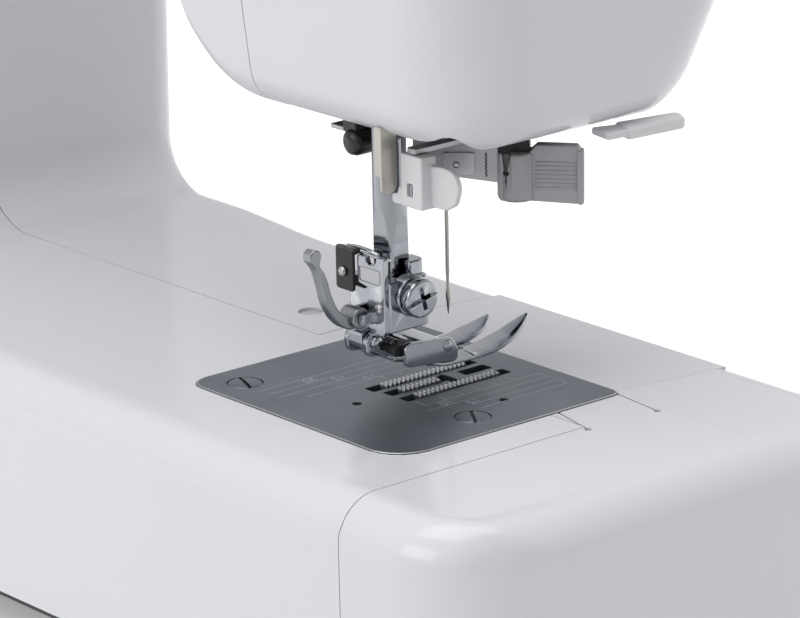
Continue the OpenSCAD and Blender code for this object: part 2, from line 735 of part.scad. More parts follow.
front_shell();
rear_shell();
face_cover();
belt_cover();
base_tray();
rubber_feet();
case_screws();
inner_frame();
needle_plate();
plate_screws();
hook_cover();
cover_button();
feed_bar();
feed_dog();
hook_race();
bobbin_case();
bobbin();
lower_shaft();
upper_shaft();
shaft_bushes();
timing_belt();
upper_pulleys();
lower_pulley();
motor();
motor_pulley();
motor_belt();
handwheel();
needle_bar();
bar_bushes();
needle_crank();
needle_link();
needle_clamp();
clamp_screw();
needle();
take_up_lever();
presser_bar();
presser_spring();
lifter_lever();
ankle();
thumb_screw();
snap_lever();
snap_clip();
presser_foot();
foot_pin();
threader_post();
threader_slider();
threader_lever();
threader_head();
thread_cutter();
tension_dial();
pattern_dial();
length_dial();
width_dial();
reverse_lever();
winder_spindle();
spool_pin();
carry_handle();
lamp();
power_inlet();
power_switch();
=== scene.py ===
import json
import math
import bpy
import bmesh
import numpy as np
from mathutils import Matrix, Vector


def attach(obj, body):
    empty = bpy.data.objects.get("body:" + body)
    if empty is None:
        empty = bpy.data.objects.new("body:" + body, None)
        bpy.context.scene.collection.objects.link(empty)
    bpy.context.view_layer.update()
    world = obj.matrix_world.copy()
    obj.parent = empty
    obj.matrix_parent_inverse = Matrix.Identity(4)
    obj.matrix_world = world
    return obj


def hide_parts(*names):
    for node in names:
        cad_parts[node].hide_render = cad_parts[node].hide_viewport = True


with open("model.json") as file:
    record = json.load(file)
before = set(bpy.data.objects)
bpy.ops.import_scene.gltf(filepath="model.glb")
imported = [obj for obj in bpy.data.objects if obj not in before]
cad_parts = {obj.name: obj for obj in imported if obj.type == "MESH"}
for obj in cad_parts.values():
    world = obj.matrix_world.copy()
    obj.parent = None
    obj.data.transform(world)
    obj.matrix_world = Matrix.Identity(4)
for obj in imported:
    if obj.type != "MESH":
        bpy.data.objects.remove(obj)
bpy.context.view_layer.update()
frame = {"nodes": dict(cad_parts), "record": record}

# Every shape is drawn in millimetres from the needle's axis at the plate's top face:
# x runs to the handwheel, y to the back, z up. The row's own frame is reached by this shift.
SHIFT = np.array([-110.0, 7.15, 64.0])
MM = 0.001


# ---------- building meshes ----------
def to_row(points):
    """Millimetres from the needle, moved to the row's frame and turned into metres."""
    return (np.asarray(points, float).reshape(-1, 3) + SHIFT) * MM


def make(name, points, faces, body, slot, replaces=()):
    """One mesh object from vertices and faces, riding on a body and taking a record slot."""
    mesh = bpy.data.meshes.new(name)
    mesh.from_pydata(to_row(points).tolist(), [], [list(map(int, f)) for f in faces])
    mesh.update()
    mesh.validate()
    obj = bpy.data.objects.new(name, mesh)
    bpy.context.scene.collection.objects.link(obj)
    mesh.shade_smooth()
    obj.data.materials.append(MATERIALS[slot])
    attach(obj, body)
    if replaces:
        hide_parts(*replaces)
    return obj


def grid_faces(rows, cols, closed=False, start=0):
    """Quads of a rows by cols grid, its columns joined round when closed."""
    r, c = np.meshgrid(np.arange(rows - 1), np.arange(cols if closed else cols - 1), indexing="ij")
    n = (c + 1) % cols
    quads = np.stack([r * cols + c, r * cols + n, (r + 1) * cols + n, (r + 1) * cols + c], -1)
    return (quads.reshape(-1, 4) + start).tolist()


class Solid:
    """Vertices and faces gathered from several closed surfaces before they become one piece."""

    def __init__(self):
        self.points = []
        self.faces = []
        self.count = 0

    def add(self, points, faces):
        points = np.asarray(points, float).reshape(-1, 3)
        self.points.append(points)
        self.faces += [[int(i) + self.count for i in f] for f in faces]
        self.count += len(points)
        return self

    def merged(self):
        return np.concatenate(self.points), self.faces


def outline_normals(outline):
    """Outward mitred normals of a closed outline that runs anticlockwise."""
    before = outline - np.roll(outline, 1, 0)
    after = np.roll(outline, -1, 0) - outline
    n0 = np.stack([before[:, 1], -before[:, 0]], 1)
    n1 = np.stack([after[:, 1], -after[:, 0]], 1)
    n0 /= np.linalg.norm(n0, axis=1)[:, None] + 1e-12
    n1 /= np.linalg.norm(n1, axis=1)[:, None] + 1e-12
    mid = n0 + n1
    mid /= np.linalg.norm(mid, axis=1)[:, None] + 1e-12
    return mid / np.clip((mid * n0).sum(1), 0.5, 1)[:, None]


def slab(outline, low, high, along="z", edge=0.2, top_edge=None, steps=3):
    """A prism with rounded rims. The outline is drawn anticlockwise in (x, y) along z, in (y, z) along x,
    or in (x, z) along -y. Ring k is the outline drawn in by edge * (1 - cos a) at a height of edge * (1 - sin a)
    from the cap, with a running through a quarter turn, so each rim is a quarter circle."""
    outline = np.asarray(outline, float)
    area = (outline[:, 0] * np.roll(outline[:, 1], -1) - np.roll(outline[:, 0], -1) * outline[:, 1]).sum()
    if area < 0:
        outline = outline[::-1]
    normals = outline_normals(outline)
    top_edge = edge if top_edge is None else top_edge
    turn = np.linspace(0, math.pi / 2, steps + 1)
    rings = [(edge * (1 - np.sin(a)), low + edge * (1 - np.cos(a))) for a in turn]
    rings += [(top_edge * (1 - np.cos(a)), high - top_edge * (1 - np.sin(a))) for a in turn]
    stack = np.concatenate([np.column_stack([outline - normals * inset, np.full(len(outline), h)]) for inset,
                            h in rings])
    n = len(outline)
    faces = grid_faces(len(rings), n, True)
    faces.append(list(range(n - 1, -1, -1)))
    faces.append([(len(rings) - 1) * n + k for k in range(n)])
    if along == "y":
        low_high = stack[:, 2].copy()
        stack = np.column_stack([stack[:, 0], low_high, stack[:, 1]])
        faces = [f[::-1] for f in faces]
    elif along == "x":
        stack = np.column_stack([stack[:, 2], stack[:, 0], stack[:, 1]])
    return stack, faces


def spun(profile, centre, along="z", sides=48):
    """A profile of (radius, height) pairs turned about an axis through centre. Radius 0 ends close at a pole."""
    profile = np.asarray(profile, float)
    turn = np.linspace(0, 2 * math.pi, sides, endpoint=False)
    r = np.maximum(profile[:, 0], 0)[:, None]
    u, v = r * np.cos(turn), r * np.sin(turn)
    h = np.broadcast_to(profile[:, 1][:, None], u.shape)
    local = {"z": (u, v, h), "y": (v, h, u), "x": (h, u, v)}[along]
    points = np.stack(local, -1).reshape(-1, 3) + np.asarray(centre, float)
    faces = grid_faces(len(profile), sides, True)
    if profile[0, 0] > 1e-6:
        faces.append(list(range(sides - 1, -1, -1)))
    if profile[-1, 0] > 1e-6:
        faces.append([(len(profile) - 1) * sides + k for k in range(sides)])
    return points, faces


def pin(low, high, radius, edge=0.2, steps=3):
    """Profile of a plain pin with both rims rounded."""
    turn = np.linspace(0, math.pi / 2, steps + 1)
    first = [(radius - edge * (1 - math.sin(a)), low + edge * (1 - math.cos(a))) for a in turn]
    last = [(radius - edge * (1 - math.cos(a)), high - edge * (1 - math.sin(a))) for a in turn]
    return first + last


def wire(path, radius, sides=12):
    """A round bar along a path of points. Each ring lies across the path in a frame turned as little as possible."""
    path = np.asarray(path, float)
    tangent = np.gradient(path, axis=0)
    tangent /= np.linalg.norm(tangent, axis=1)[:, None]
    up = np.array([0.3, 0.5, 0.81])
    side = np.cross(tangent, up)
    side /= np.linalg.norm(side, axis=1)[:, None]
    other = np.cross(tangent, side)
    turn = np.linspace(0, 2 * math.pi, sides, endpoint=False)
    radius = np.broadcast_to(np.asarray(radius, float), len(path))
    ring = (np.cos(turn)[None, :, None] * side[:, None] - np.sin(turn)[None, :,
                                                                       None] * other[:, None]) * radius[:, None, None]
    points = (path[:, None] + ring).reshape(-1, 3)
    faces = grid_faces(len(path), sides, True)
    faces.append(list(range(sides - 1, -1, -1)))
    faces.append([(len(path) - 1) * sides + k for k in range(sides)])
    return points, faces


def rounded(corners, radius=1.0, steps=5):
    """A closed outline with each corner replaced by an arc-like curve. A corner may be (x, y) or (x, y, its own
    radius)."""
    out = []
    count = len(corners)
    for k in range(count):
        p = np.array(corners[k][:2], float)
        r = corners[k][2] if len(corners[k]) > 2 else radius
        a = np.array(corners[k - 1][:2], float) - p
        b = np.array(corners[(k + 1) % count][:2], float) - p
        la, lb = np.linalg.norm(a), np.linalg.norm(b)
        a, b = a / la, b / lb
        angle = math.acos(np.clip(a @ b, -1, 1))
        if r <= 1e-6 or angle > 3.1:
            out.append(p)
            continue
        cut = min(r / math.tan(angle / 2), la * 0.49, lb * 0.49)
        real = cut * math.tan(angle / 2)
        centre = p + (a + b) / np.linalg.norm(a + b) * real / math.sin(angle / 2)
        first, last = p + a * cut - centre, p + b * cut - centre
        a0, a1 = math.atan2(first[1], first[0]), math.atan2(last[1], last[0])
        swing = (a1 - a0 + math.pi) % (2 * math.pi) - math.pi
        for t in np.linspace(0, 1, steps + 1):
            out.append(centre + real * np.array([math.cos(a0 + swing * t), math.sin(a0 + swing * t)]))
    out = np.array(out)
    keep = np.linalg.norm(out - np.roll(out, 1, 0), axis=1) > 1e-5
    return out[keep]


def smooth_curve(points, per):
    """A curve through the points: on each span, the usual cubic with the slopes of its neighbours (Catmull and
    Rom)."""
    p = np.asarray(points, float)
    p = np.concatenate([2 * p[:1] - p[1:2], p, 2 * p[-1:] - p[-2:-1]])
    t = np.linspace(0, 1, per, endpoint=False)[:, None]
    spans = []
    for k in range(1, len(p) - 2):
        a, b, c, d = p[k - 1], p[k], p[k + 1], p[k + 2]
        bend, twist = 2 * a - 5 * b + 4 * c - d, 3 * b - a - 3 * c + d
        spans.append(0.5 * (2 * b + (c - a) * t + bend * t ** 2 + twist * t ** 3))
    spans.append(p[-2:-1])
    return np.concatenate(spans)


def outwards(obj):
    """Closes a piece at its poles and seams, and turns every face outwards."""
    work = bmesh.new()
    work.from_mesh(obj.data)
    bmesh.ops.remove_doubles(work, verts=work.verts, dist=0.0000005)
    bmesh.ops.recalc_face_normals(work, faces=work.faces)
    work.to_mesh(obj.data)
    work.free()
    return obj


def carve(obj, cutters, mode="DIFFERENCE"):
    """Cuts (or adds) closed shapes given as (points, faces), and bakes the result into the piece's mesh."""
    for points, faces in cutters:
        mesh = bpy.data.meshes.new("cutter")
        mesh.from_pydata(to_row(points).tolist(), [], [list(map(int, f)) for f in faces])
        mesh.update()
        tool = outwards(bpy.data.objects.new("cutter", mesh))
        bpy.context.scene.collection.objects.link(tool)
        cut = obj.modifiers.new("cut", "BOOLEAN")
        cut.operation = mode
        cut.solver = "EXACT"
        cut.object = tool
        settle(obj)
        bpy.data.objects.remove(tool)
        bpy.data.meshes.remove(mesh)


def settle(obj):
    """Turns a piece's modifiers into plain mesh."""
    bpy.context.view_layer.update()
    graph = bpy.context.evaluated_depsgraph_get()
    solid = bpy.data.meshes.new_from_object(obj.evaluated_get(graph))
    old = obj.data
    obj.modifiers.clear()
    solid.name = old.name
    obj.data = solid
    bpy.data.meshes.remove(old)


def soften(obj, width=0.0002, segments=2, angle=32):
    """Rounds the hard edges a little and evens the shading over the flats."""
    edge = obj.modifiers.new("edge", "BEVEL")
    edge.width = width
    edge.segments = segments
    edge.limit_method = "ANGLE"
    edge.angle_limit = math.radians(angle)
    even_shading(obj)


def even_shading(obj):
    """Large faces lead the shading, so flats stay flat beside small rounded rims."""
    shade = obj.modifiers.new("shade", "WEIGHTED_NORMAL")
    shade.weight = 80
    shade.keep_sharp = True


# ---------- finishes ----------
def new_group(name, inputs, outputs):
    """An empty shader node group with named sockets. Each entry is (name, kind, default)."""
    group = bpy.data.node_groups.new(name, "ShaderNodeTree")
    for label, kind, value in inputs:
        socket = group.interface.new_socket(label, in_out="INPUT", socket_type="NodeSocket" + kind)
        if value is not None:
            socket.default_value = value
    for label, kind in outputs:
        group.interface.new_socket(label, in_out="OUTPUT", socket_type="NodeSocket" + kind)
    return group, group.nodes.new("NodeGroupInput"), group.nodes.new("NodeGroupOutput")


def mottle_group():
    """Two sizes of noise on the piece's own coordinates: a cloudy colour change, a roughness change and a fine
    height."""
    group, given, out = new_group("mottle", [("Colour A", "Color", (1, 1, 1, 1)), ("Colour B", "Color", (0, 0, 0, 1)),
                                             ("Cloud Scale", "Float", 40.0),
                                             ("Grain Scale", "Float", 2500.0), ("Rough Low", "Float", 0.2),
                                             ("Rough High", "Float", 0.3)],
                                  [("Colour", "Color"), ("Roughness", "Float"), ("Height", "Float")])
    n, link = group.nodes, group.links.new
    place = n.new("ShaderNodeTexCoord")
    cloud, grain = n.new("ShaderNodeTexNoise"), n.new("ShaderNodeTexNoise")
    cloud.inputs["Detail"].default_value = 4
    grain.inputs["Detail"].default_value = 2
    for noise, scale in ((cloud, "Cloud Scale"), (grain, "Grain Scale")):
        link(place.outputs["Object"], noise.inputs["Vector"])
        link(given.outputs[scale], noise.inputs["Scale"])
    mix = n.new("ShaderNodeMix")
    mix.data_type = "RGBA"
    link(cloud.outputs["Fac"], mix.inputs["Factor"])
    link(given.outputs["Colour A"], mix.inputs["A"])
    link(given.outputs["Colour B"], mix.inputs["B"])
    spread = n.new("ShaderNodeMapRange")
    link(cloud.outputs["Fac"], spread.inputs["Value"])
    spread.inputs["From Min"].default_value = 0.3
    spread.inputs["From Max"].default_value = 0.7
    link(given.outputs["Rough Low"], spread.inputs["To Min"])
    link(given.outputs["Rough High"], spread.inputs["To Max"])
    link(mix.outputs["Result"], out.inputs["Colour"])
    link(spread.outputs["Result"], out.inputs["Roughness"])
    link(grain.outputs["Fac"], out.inputs["Height"])
    return group


def lines_group():
    """Fine parallel scratches: noise stretched along one direction, as a 0 to 1 value."""
    group, given, out = new_group("brushed_lines", [("Stretch", "Vector", (1, 1, 1)), ("Scale", "Float", 3000.0)],
                                  [("Value", "Float")])
    n, link = group.nodes, group.links.new
    place, turn, noise = n.new("ShaderNodeTexCoord"), n.new("ShaderNodeMapping"), n.new("ShaderNodeTexNoise")
    link(place.outputs["Object"], turn.inputs["Vector"])
    link(given.outputs["Stretch"], turn.inputs["Scale"])
    link(turn.outputs["Vector"], noise.inputs["Vector"])
    link(given.outputs["Scale"], noise.inputs["Scale"])
    noise.inputs["Detail"].default_value = 3
    link(noise.outputs["Fac"], out.inputs["Value"])
    return group


def wear_and_highlight_group():
    """Brightens outer corners, broken up by noise: wear as on handled metal and plastic, and on the bright metals a
    painted edge highlight.
    """
    group, given, out = new_group("edge_wear_and_highlight", [("Base", "Color", (0.5, 0.5, 0.5, 1)),
                                                ("Worn And Highlight", "Color", (0.8, 0.8, 0.8, 1)), ("Amount", "Float", 0.5)],
                                  [("Colour", "Color")])
    n, link = group.nodes, group.links.new
    shape, place, noise = n.new("ShaderNodeNewGeometry"), n.new("ShaderNodeTexCoord"), n.new("ShaderNodeTexNoise")
    link(place.outputs["Object"], noise.inputs["Vector"])
    noise.inputs["Scale"].default_value = 900
    corner = n.new("ShaderNodeMapRange")
    corner.inputs["From Min"].default_value = 0.52
    corner.inputs["From Max"].default_value = 0.62
    link(shape.outputs["Pointiness"], corner.inputs["Value"])
    broken, amount = n.new("ShaderNodeMath"), n.new("ShaderNodeMath")
    broken.operation = amount.operation = "MULTIPLY"
    link(corner.outputs["Result"], broken.inputs[0])
    link(noise.outputs["Fac"], broken.inputs[1])
    link(broken.outputs[0], amount.inputs[0])
    link(given.outputs["Amount"], amount.inputs[1])
    mix = n.new("ShaderNodeMix")
    mix.data_type = "RGBA"
    link(amount.outputs[0], mix.inputs["Factor"])
    link(given.outputs["Base"], mix.inputs["A"])
    link(given.outputs["Worn And Highlight"], mix.inputs["B"])
    link(mix.outputs["Result"], out.inputs["Colour"])
    return group


MOTTLE, LINES, WEAR_AND_HIGHLIGHT = mottle_group(), lines_group(), wear_and_highlight_group()
BUMP_DEPTH = 0.0002


def finish(name, colour, second=None, metallic=0.0, rough=(0.2, 0.3), grain=2500.0, cloud=40.0, bump=0.02, coat=0.0,
           lines=None, worn_and_highlight=None,
           glass=0.0, line_bump=0.04, shine=0.5):
    """A procedural material: mottled colour and roughness, a fine grain in the normal, optional brushed lines and
    brightened corners, partly wear and partly painted highlight."""
    mat = bpy.data.materials.new(name)
    mat.use_nodes = True
    nodes, link = mat.node_tree.nodes, mat.node_tree.links.new
    surface = nodes["Principled BSDF"]
    surface.inputs["Metallic"].default_value = metallic
    surface.inputs["Coat Weight"].default_value = coat
    surface.inputs["Coat Roughness"].default_value = 0.08
    surface.inputs["Transmission Weight"].default_value = glass
    surface.inputs["Specular IOR Level"].default_value = shine
    mottle = nodes.new("ShaderNodeGroup")
    mottle.node_tree = MOTTLE
    second = second or tuple(c * 0.93 for c in colour)
    mottle.inputs["Colour A"].default_value = (*colour, 1)
    mottle.inputs["Colour B"].default_value = (*second, 1)
    mottle.inputs["Cloud Scale"].default_value = cloud
    mottle.inputs["Grain Scale"].default_value = grain
    mottle.inputs["Rough Low"].default_value, mottle.inputs["Rough High"].default_value = rough
    colour_from = mottle.outputs["Colour"]
    # Brightened outer corners: wear, and on chrome and bright steel a painted edge highlight.
    if worn_and_highlight:
        wear_and_highlight = nodes.new("ShaderNodeGroup")
        wear_and_highlight.node_tree = WEAR_AND_HIGHLIGHT
        wear_and_highlight.inputs["Worn And Highlight"].default_value = (*worn_and_highlight, 1)
        wear_and_highlight.inputs["Amount"].default_value = 0.8
        link(colour_from, wear_and_highlight.inputs["Base"])
        colour_from = wear_and_highlight.outputs["Colour"]
    link(colour_from, surface.inputs["Base Color"])
    link(mottle.outputs["Roughness"], surface.inputs["Roughness"])
    relief = nodes.new("ShaderNodeBump")
    relief.inputs["Strength"].default_value = bump
    relief.inputs["Distance"].default_value = BUMP_DEPTH
    link(mottle.outputs["Height"], relief.inputs["Height"])
    if lines:
        brushed = nodes.new("ShaderNodeGroup")
        brushed.node_tree = LINES
        brushed.inputs["Stretch"].default_value = lines
        brushed.inputs["Scale"].default_value = 2600.0
        scratch = nodes.new("ShaderNodeBump")
        scratch.inputs["Strength"].default_value = line_bump
        scratch.inputs["Distance"].default_value = BUMP_DEPTH
        link(brushed.outputs["Value"], scratch.inputs["Height"])
        link(scratch.outputs["Normal"], relief.inputs["Normal"])
    link(relief.outputs["Normal"], surface.inputs["Normal"])
    return mat


MATERIALS = {
    "shell_white": finish("shell_white", (0.70, 0.705, 0.73), (0.69, 0.695, 0.72), rough=(0.12, 0.17), grain=1400,
                          bump=0.01, coat=0.25),
    "tray_dark": finish("tray_dark", (0.05, 0.05, 0.055), rough=(0.5, 0.65), bump=0.3),
    "rubber_black": finish("rubber_black", (0.02, 0.02, 0.02), (0.035, 0.035, 0.035), rough=(0.6, 0.8), grain=4000,
                           bump=0.35),
    "screw_steel": finish("screw_steel", (0.16, 0.18, 0.21), metallic=1.0, rough=(0.28, 0.4), lines=(1, 12, 1),
                          worn_and_highlight=(0.5, 0.5, 0.52)),
    "frame_cast": finish("frame_cast", (0.33, 0.34, 0.35), (0.25, 0.26, 0.27), metallic=0.8, rough=(0.45, 0.6),
                         grain=900, bump=0.3),
    "plate_steel": finish("plate_steel", (0.185, 0.205, 0.235), (0.165, 0.185, 0.215), metallic=0.85,
                          rough=(0.34, 0.42), grain=3600, bump=0.07,
                          cloud=60, lines=(1, 14, 1), line_bump=0.03),
    "etched": finish("etched", (0.42, 0.44, 0.47), metallic=0.5, rough=(0.4, 0.5)),
    "button_grey": finish("button_grey", (0.58, 0.59, 0.61), rough=(0.3, 0.4), grain=1800, bump=0.05),
    "dog_steel": finish("dog_steel", (0.52, 0.53, 0.55), (0.4, 0.41, 0.43), metallic=1.0, rough=(0.25, 0.38),
                        lines=(12, 1, 1), worn_and_highlight=(0.8, 0.8, 0.82)),
    "bright_steel": finish("bright_steel", (0.6, 0.61, 0.63), metallic=1.0, rough=(0.18, 0.28), lines=(1, 12, 12)),
    "dark_plastic": finish("dark_plastic", (0.028, 0.028, 0.03), rough=(0.35, 0.5), grain=1500, bump=0.12),
    # Near black: painted shade where it fills the foot's latch recess, and the dark colour of the threader's printed
    # line and rod socket.
    "pocket_dark": finish("pocket_dark", (0.012, 0.012, 0.014), rough=(0.5, 0.6)),
    "bobbin_clear": finish("bobbin_clear", (0.88, 0.9, 0.92), rough=(0.05, 0.1), glass=0.8),
    "bush_bronze": finish("bush_bronze", (0.5, 0.36, 0.16), metallic=1.0, rough=(0.35, 0.5), grain=2000, bump=0.1),
    "belt_rubber": finish("belt_rubber", (0.02, 0.02, 0.022), rough=(0.6, 0.75), bump=0.3),
    "motor_dark": finish("motor_dark", (0.07, 0.07, 0.08), metallic=0.4, rough=(0.3, 0.4), bump=0.06),
    "chrome_bar": finish("chrome_bar", (0.40, 0.415, 0.44), (0.33, 0.345, 0.37), metallic=1.0, rough=(0.1, 0.17),
                         cloud=120, lines=(14, 14, 1), line_bump=0.02),
    "needle_steel": finish("needle_steel", (0.42, 0.4, 0.37), metallic=1.0, rough=(0.16, 0.24)),
    "spring_steel": finish("spring_steel", (0.25, 0.26, 0.28), metallic=1.0, rough=(0.3, 0.4)),
    "lever_black": finish("lever_black", (0.015, 0.015, 0.017), rough=(0.18, 0.26), bump=0.02),
    # Its near-white corners are a painted edge highlight on the chrome.
    "foot_chrome": finish("foot_chrome", (0.44, 0.455, 0.49), (0.34, 0.355, 0.385), metallic=1.0, rough=(0.08, 0.15),
                          cloud=150, bump=0.01, worn_and_highlight=(0.85, 0.86, 0.88)),
    "lever_steel": finish("lever_steel", (0.34, 0.35, 0.375), (0.28, 0.29, 0.31), metallic=1.0, rough=(0.22, 0.32),
                          grain=3000, bump=0.05, worn_and_highlight=(0.6, 0.61, 0.63)),
    "rivet_steel": finish("rivet_steel", (0.5, 0.5, 0.52), metallic=1.0, rough=(0.2, 0.3)),
    "clip_black": finish("clip_black", (0.014, 0.013, 0.012), metallic=0.3, rough=(0.25, 0.35),
                         worn_and_highlight=(0.15, 0.14, 0.13)),
    "bracket_beige": finish("bracket_beige", (0.60, 0.575, 0.52), (0.52, 0.5, 0.45), metallic=0.7, rough=(0.28, 0.38),
                            lines=(1, 1, 14), bump=0.03),
    "threader_metal": finish("threader_metal", (0.45, 0.455, 0.47), (0.38, 0.385, 0.4), metallic=0.9,
                             rough=(0.25, 0.35), lines=(12, 1, 1), worn_and_highlight=(0.7, 0.7, 0.72)),
    "threader_grey": finish("threader_grey", (0.38, 0.382, 0.395), rough=(0.36, 0.46), grain=1800, bump=0.08,
                            worn_and_highlight=(0.42, 0.42, 0.44)),
    "threader_white": finish("threader_white", (0.72, 0.72, 0.735), rough=(0.3, 0.38), grain=1800, bump=0.04),
    "dial_white": finish("dial_white", (0.74, 0.745, 0.76), rough=(0.22, 0.3), bump=0.03),
    "lamp_lens": finish("lamp_lens", (0.9, 0.9, 0.88), rough=(0.15, 0.25), glass=0.5),
}
for entry in frame["record"]["subparts"]:
    node = frame["nodes"][entry["node"]]
    node.data.materials.clear()
    node.data.materials.append(MATERIALS[entry["material_slot"]])
    weld = node.modifiers.new("weld", "WELD")
    weld.merge_threshold = 0.000002
    rim = node.modifiers.new("rim", "BEVEL")
    rim.width = 0.0002
    rim.segments = 2
    rim.limit_method = "ANGLE"
    rim.angle_limit = math.radians(40)
    rim.use_clamp_overlap = True
    even_shading(node)


# ---------- casing ----------
FREE_END, BED_BACK, BED_FRONT, SKIRT = -82.5, 68.7, -60.3, -54.4
ARM_TOP, ARM_UNDER, HEAD_UNDER, HEAD_END, RIGHT_END = 212.0, 112.0, 60.0, -33.8, 281.0
REAR_START, BELT_SEAM, SEAM = -44.5, 262.0, 0.3
FRONT_CREASE, HEAD_PARTING = -19.5, 11.5
BED_CORNER, HEAD_RUN, SHELL_RIM = 22, 27.8, 0.00035
WHEEL_CENTRE = (0, 0, 165)
BUTTON_CENTRE = (61.8, -10.3, 0)


def drawn_in(depth, radius):
    """How far a surface is drawn in near an end: radius - sqrt(radius^2 - (radius - depth)^2) inside the radius, else
    0."""
    near = np.clip(radius - depth, 0, radius)
    return radius - np.sqrt(np.maximum(radius ** 2 - near ** 2, 0))


def softened(z, heights, values, window):
    """A piecewise straight profile whose corners are rounded by averaging over a window of heights."""
    steps = np.linspace(-1, 1, 9)
    return np.mean([np.interp(np.asarray(z, float) + window * s, heights, values) for s in steps], axis=0)


def ease(x, a, b):
    t = np.clip((x - a) / (b - a), 0, 1)
    return t * t * (3 - 2 * t)


def back_face(x, z):
    """Depth of the casing's back: flat behind bed and arm, and a slow curve between them behind the pillar."""
    pillar = softened(z, [0, 12, 40, 84, 128, 170, 212], [BED_BACK, 65.5, 52.7, 39, 30, 24.4, 24], 12)
    pillar = np.where(z < -6, BED_BACK, pillar)
    upper = np.where(z > 56, 24.0, BED_BACK)
    return upper + (pillar - upper) * np.where(z > 56, ease(x, 140, 196), 1.0)


def front_face(x, z):
    """Depth of the casing's front: the head's chin slopes out to the arm's flat front, and the pillar leans out from
    the bed."""
    pillar = softened(z, [-60, 2, 105, 212], [BED_FRONT, BED_FRONT, -75, -75], 8)
    chin = softened(z, [58, 73, 81, 105, 212], [-47.0, -56.0, -61.0, -75, -75], 3)
    return np.where(z > 56, chin + (pillar - chin) * ease(x, 140, 186), pillar)


def casing_path():
    """Stations along the casing's C: pairs of (x, z) points, the first on the inside of the C and the second on its
    outside."""
    inner, outer = [], []

    def run(a, b, c, d, count):
        t = np.linspace(0, 1, count, endpoint=False)[:, None]
        inner.append(np.array(a) + (np.array(b, float) - a) * t)
        outer.append(np.array(c) + (np.array(d, float) - c) * t)

    def bend(centre, radius, a0, a1, c, d, count):
        t = np.linspace(0, 1, count, endpoint=False)[:, None]
        a = np.radians(a0 + (a1 - a0) * t)
        inner.append(np.array(centre) + radius * np.concatenate([np.cos(a), np.sin(a)], 1))
        outer.append(np.array(c) + (np.array(d, float) - c) * t)

    near = FREE_END + BED_CORNER * (1 - np.cos(np.linspace(0, math.pi / 2, 19)[:-1]))[:, None]
    inner.append(np.concatenate([near, np.zeros_like(near)], 1))
    outer.append(np.concatenate([near, np.full_like(near, SKIRT)], 1))
    run((FREE_END + BED_CORNER, 0), (140, 0), (FREE_END + BED_CORNER, SKIRT), (140, SKIRT), 54)
    run((140, 0), (161.5, 0), (140, SKIRT), (190, SKIRT), 8)
    bend((161.5, 17), 17, -90, -8, (190, SKIRT), (BELT_SEAM, SKIRT), 16)
    run((178.33, 14.63), (190.35, 94.9), (BELT_SEAM, SKIRT), (BELT_SEAM, 150), 18)
    bend((175.5, 97), 15, -8, 90, (BELT_SEAM, 150), (BELT_SEAM, ARM_TOP), 14)
    run((175.5, ARM_UNDER), (88.6, ARM_UNDER), (BELT_SEAM, ARM_TOP), (108, ARM_TOP), 20)
    bend((88.6, 102), 10, 90, 155, (108, ARM_TOP), (99, ARM_TOP), 8)
    throat = smooth_curve([(79.5, 106.2), (72, 93), (64.7, 79.9), (60, 70.6), (53, 64.3), (47, 61.3), (41, 60.1),
                           (36, HEAD_UNDER)], 5)
    tops = np.interp(throat[:, 0], [36, 79.5], [61.8, 99])
    inner.append(throat[:-1])
    outer.append(np.column_stack([tops, np.full(len(tops), ARM_TOP)])[:-1])
    run((36, HEAD_UNDER), (-6, HEAD_UNDER), (61.8, ARM_TOP), (0, ARM_TOP), 14)
    depth = HEAD_RUN * (1 - np.sin(np.linspace(0, math.pi / 2, 15)))[:, None]
    t = 1 - depth / HEAD_RUN
    inner.append(np.concatenate([-6 + (HEAD_END + 6) * t, np.full_like(t, HEAD_UNDER)], 1))
    outer.append(np.concatenate([HEAD_END * t, np.full_like(t, ARM_TOP)], 1))
    return np.concatenate(inner), np.concatenate(outer)


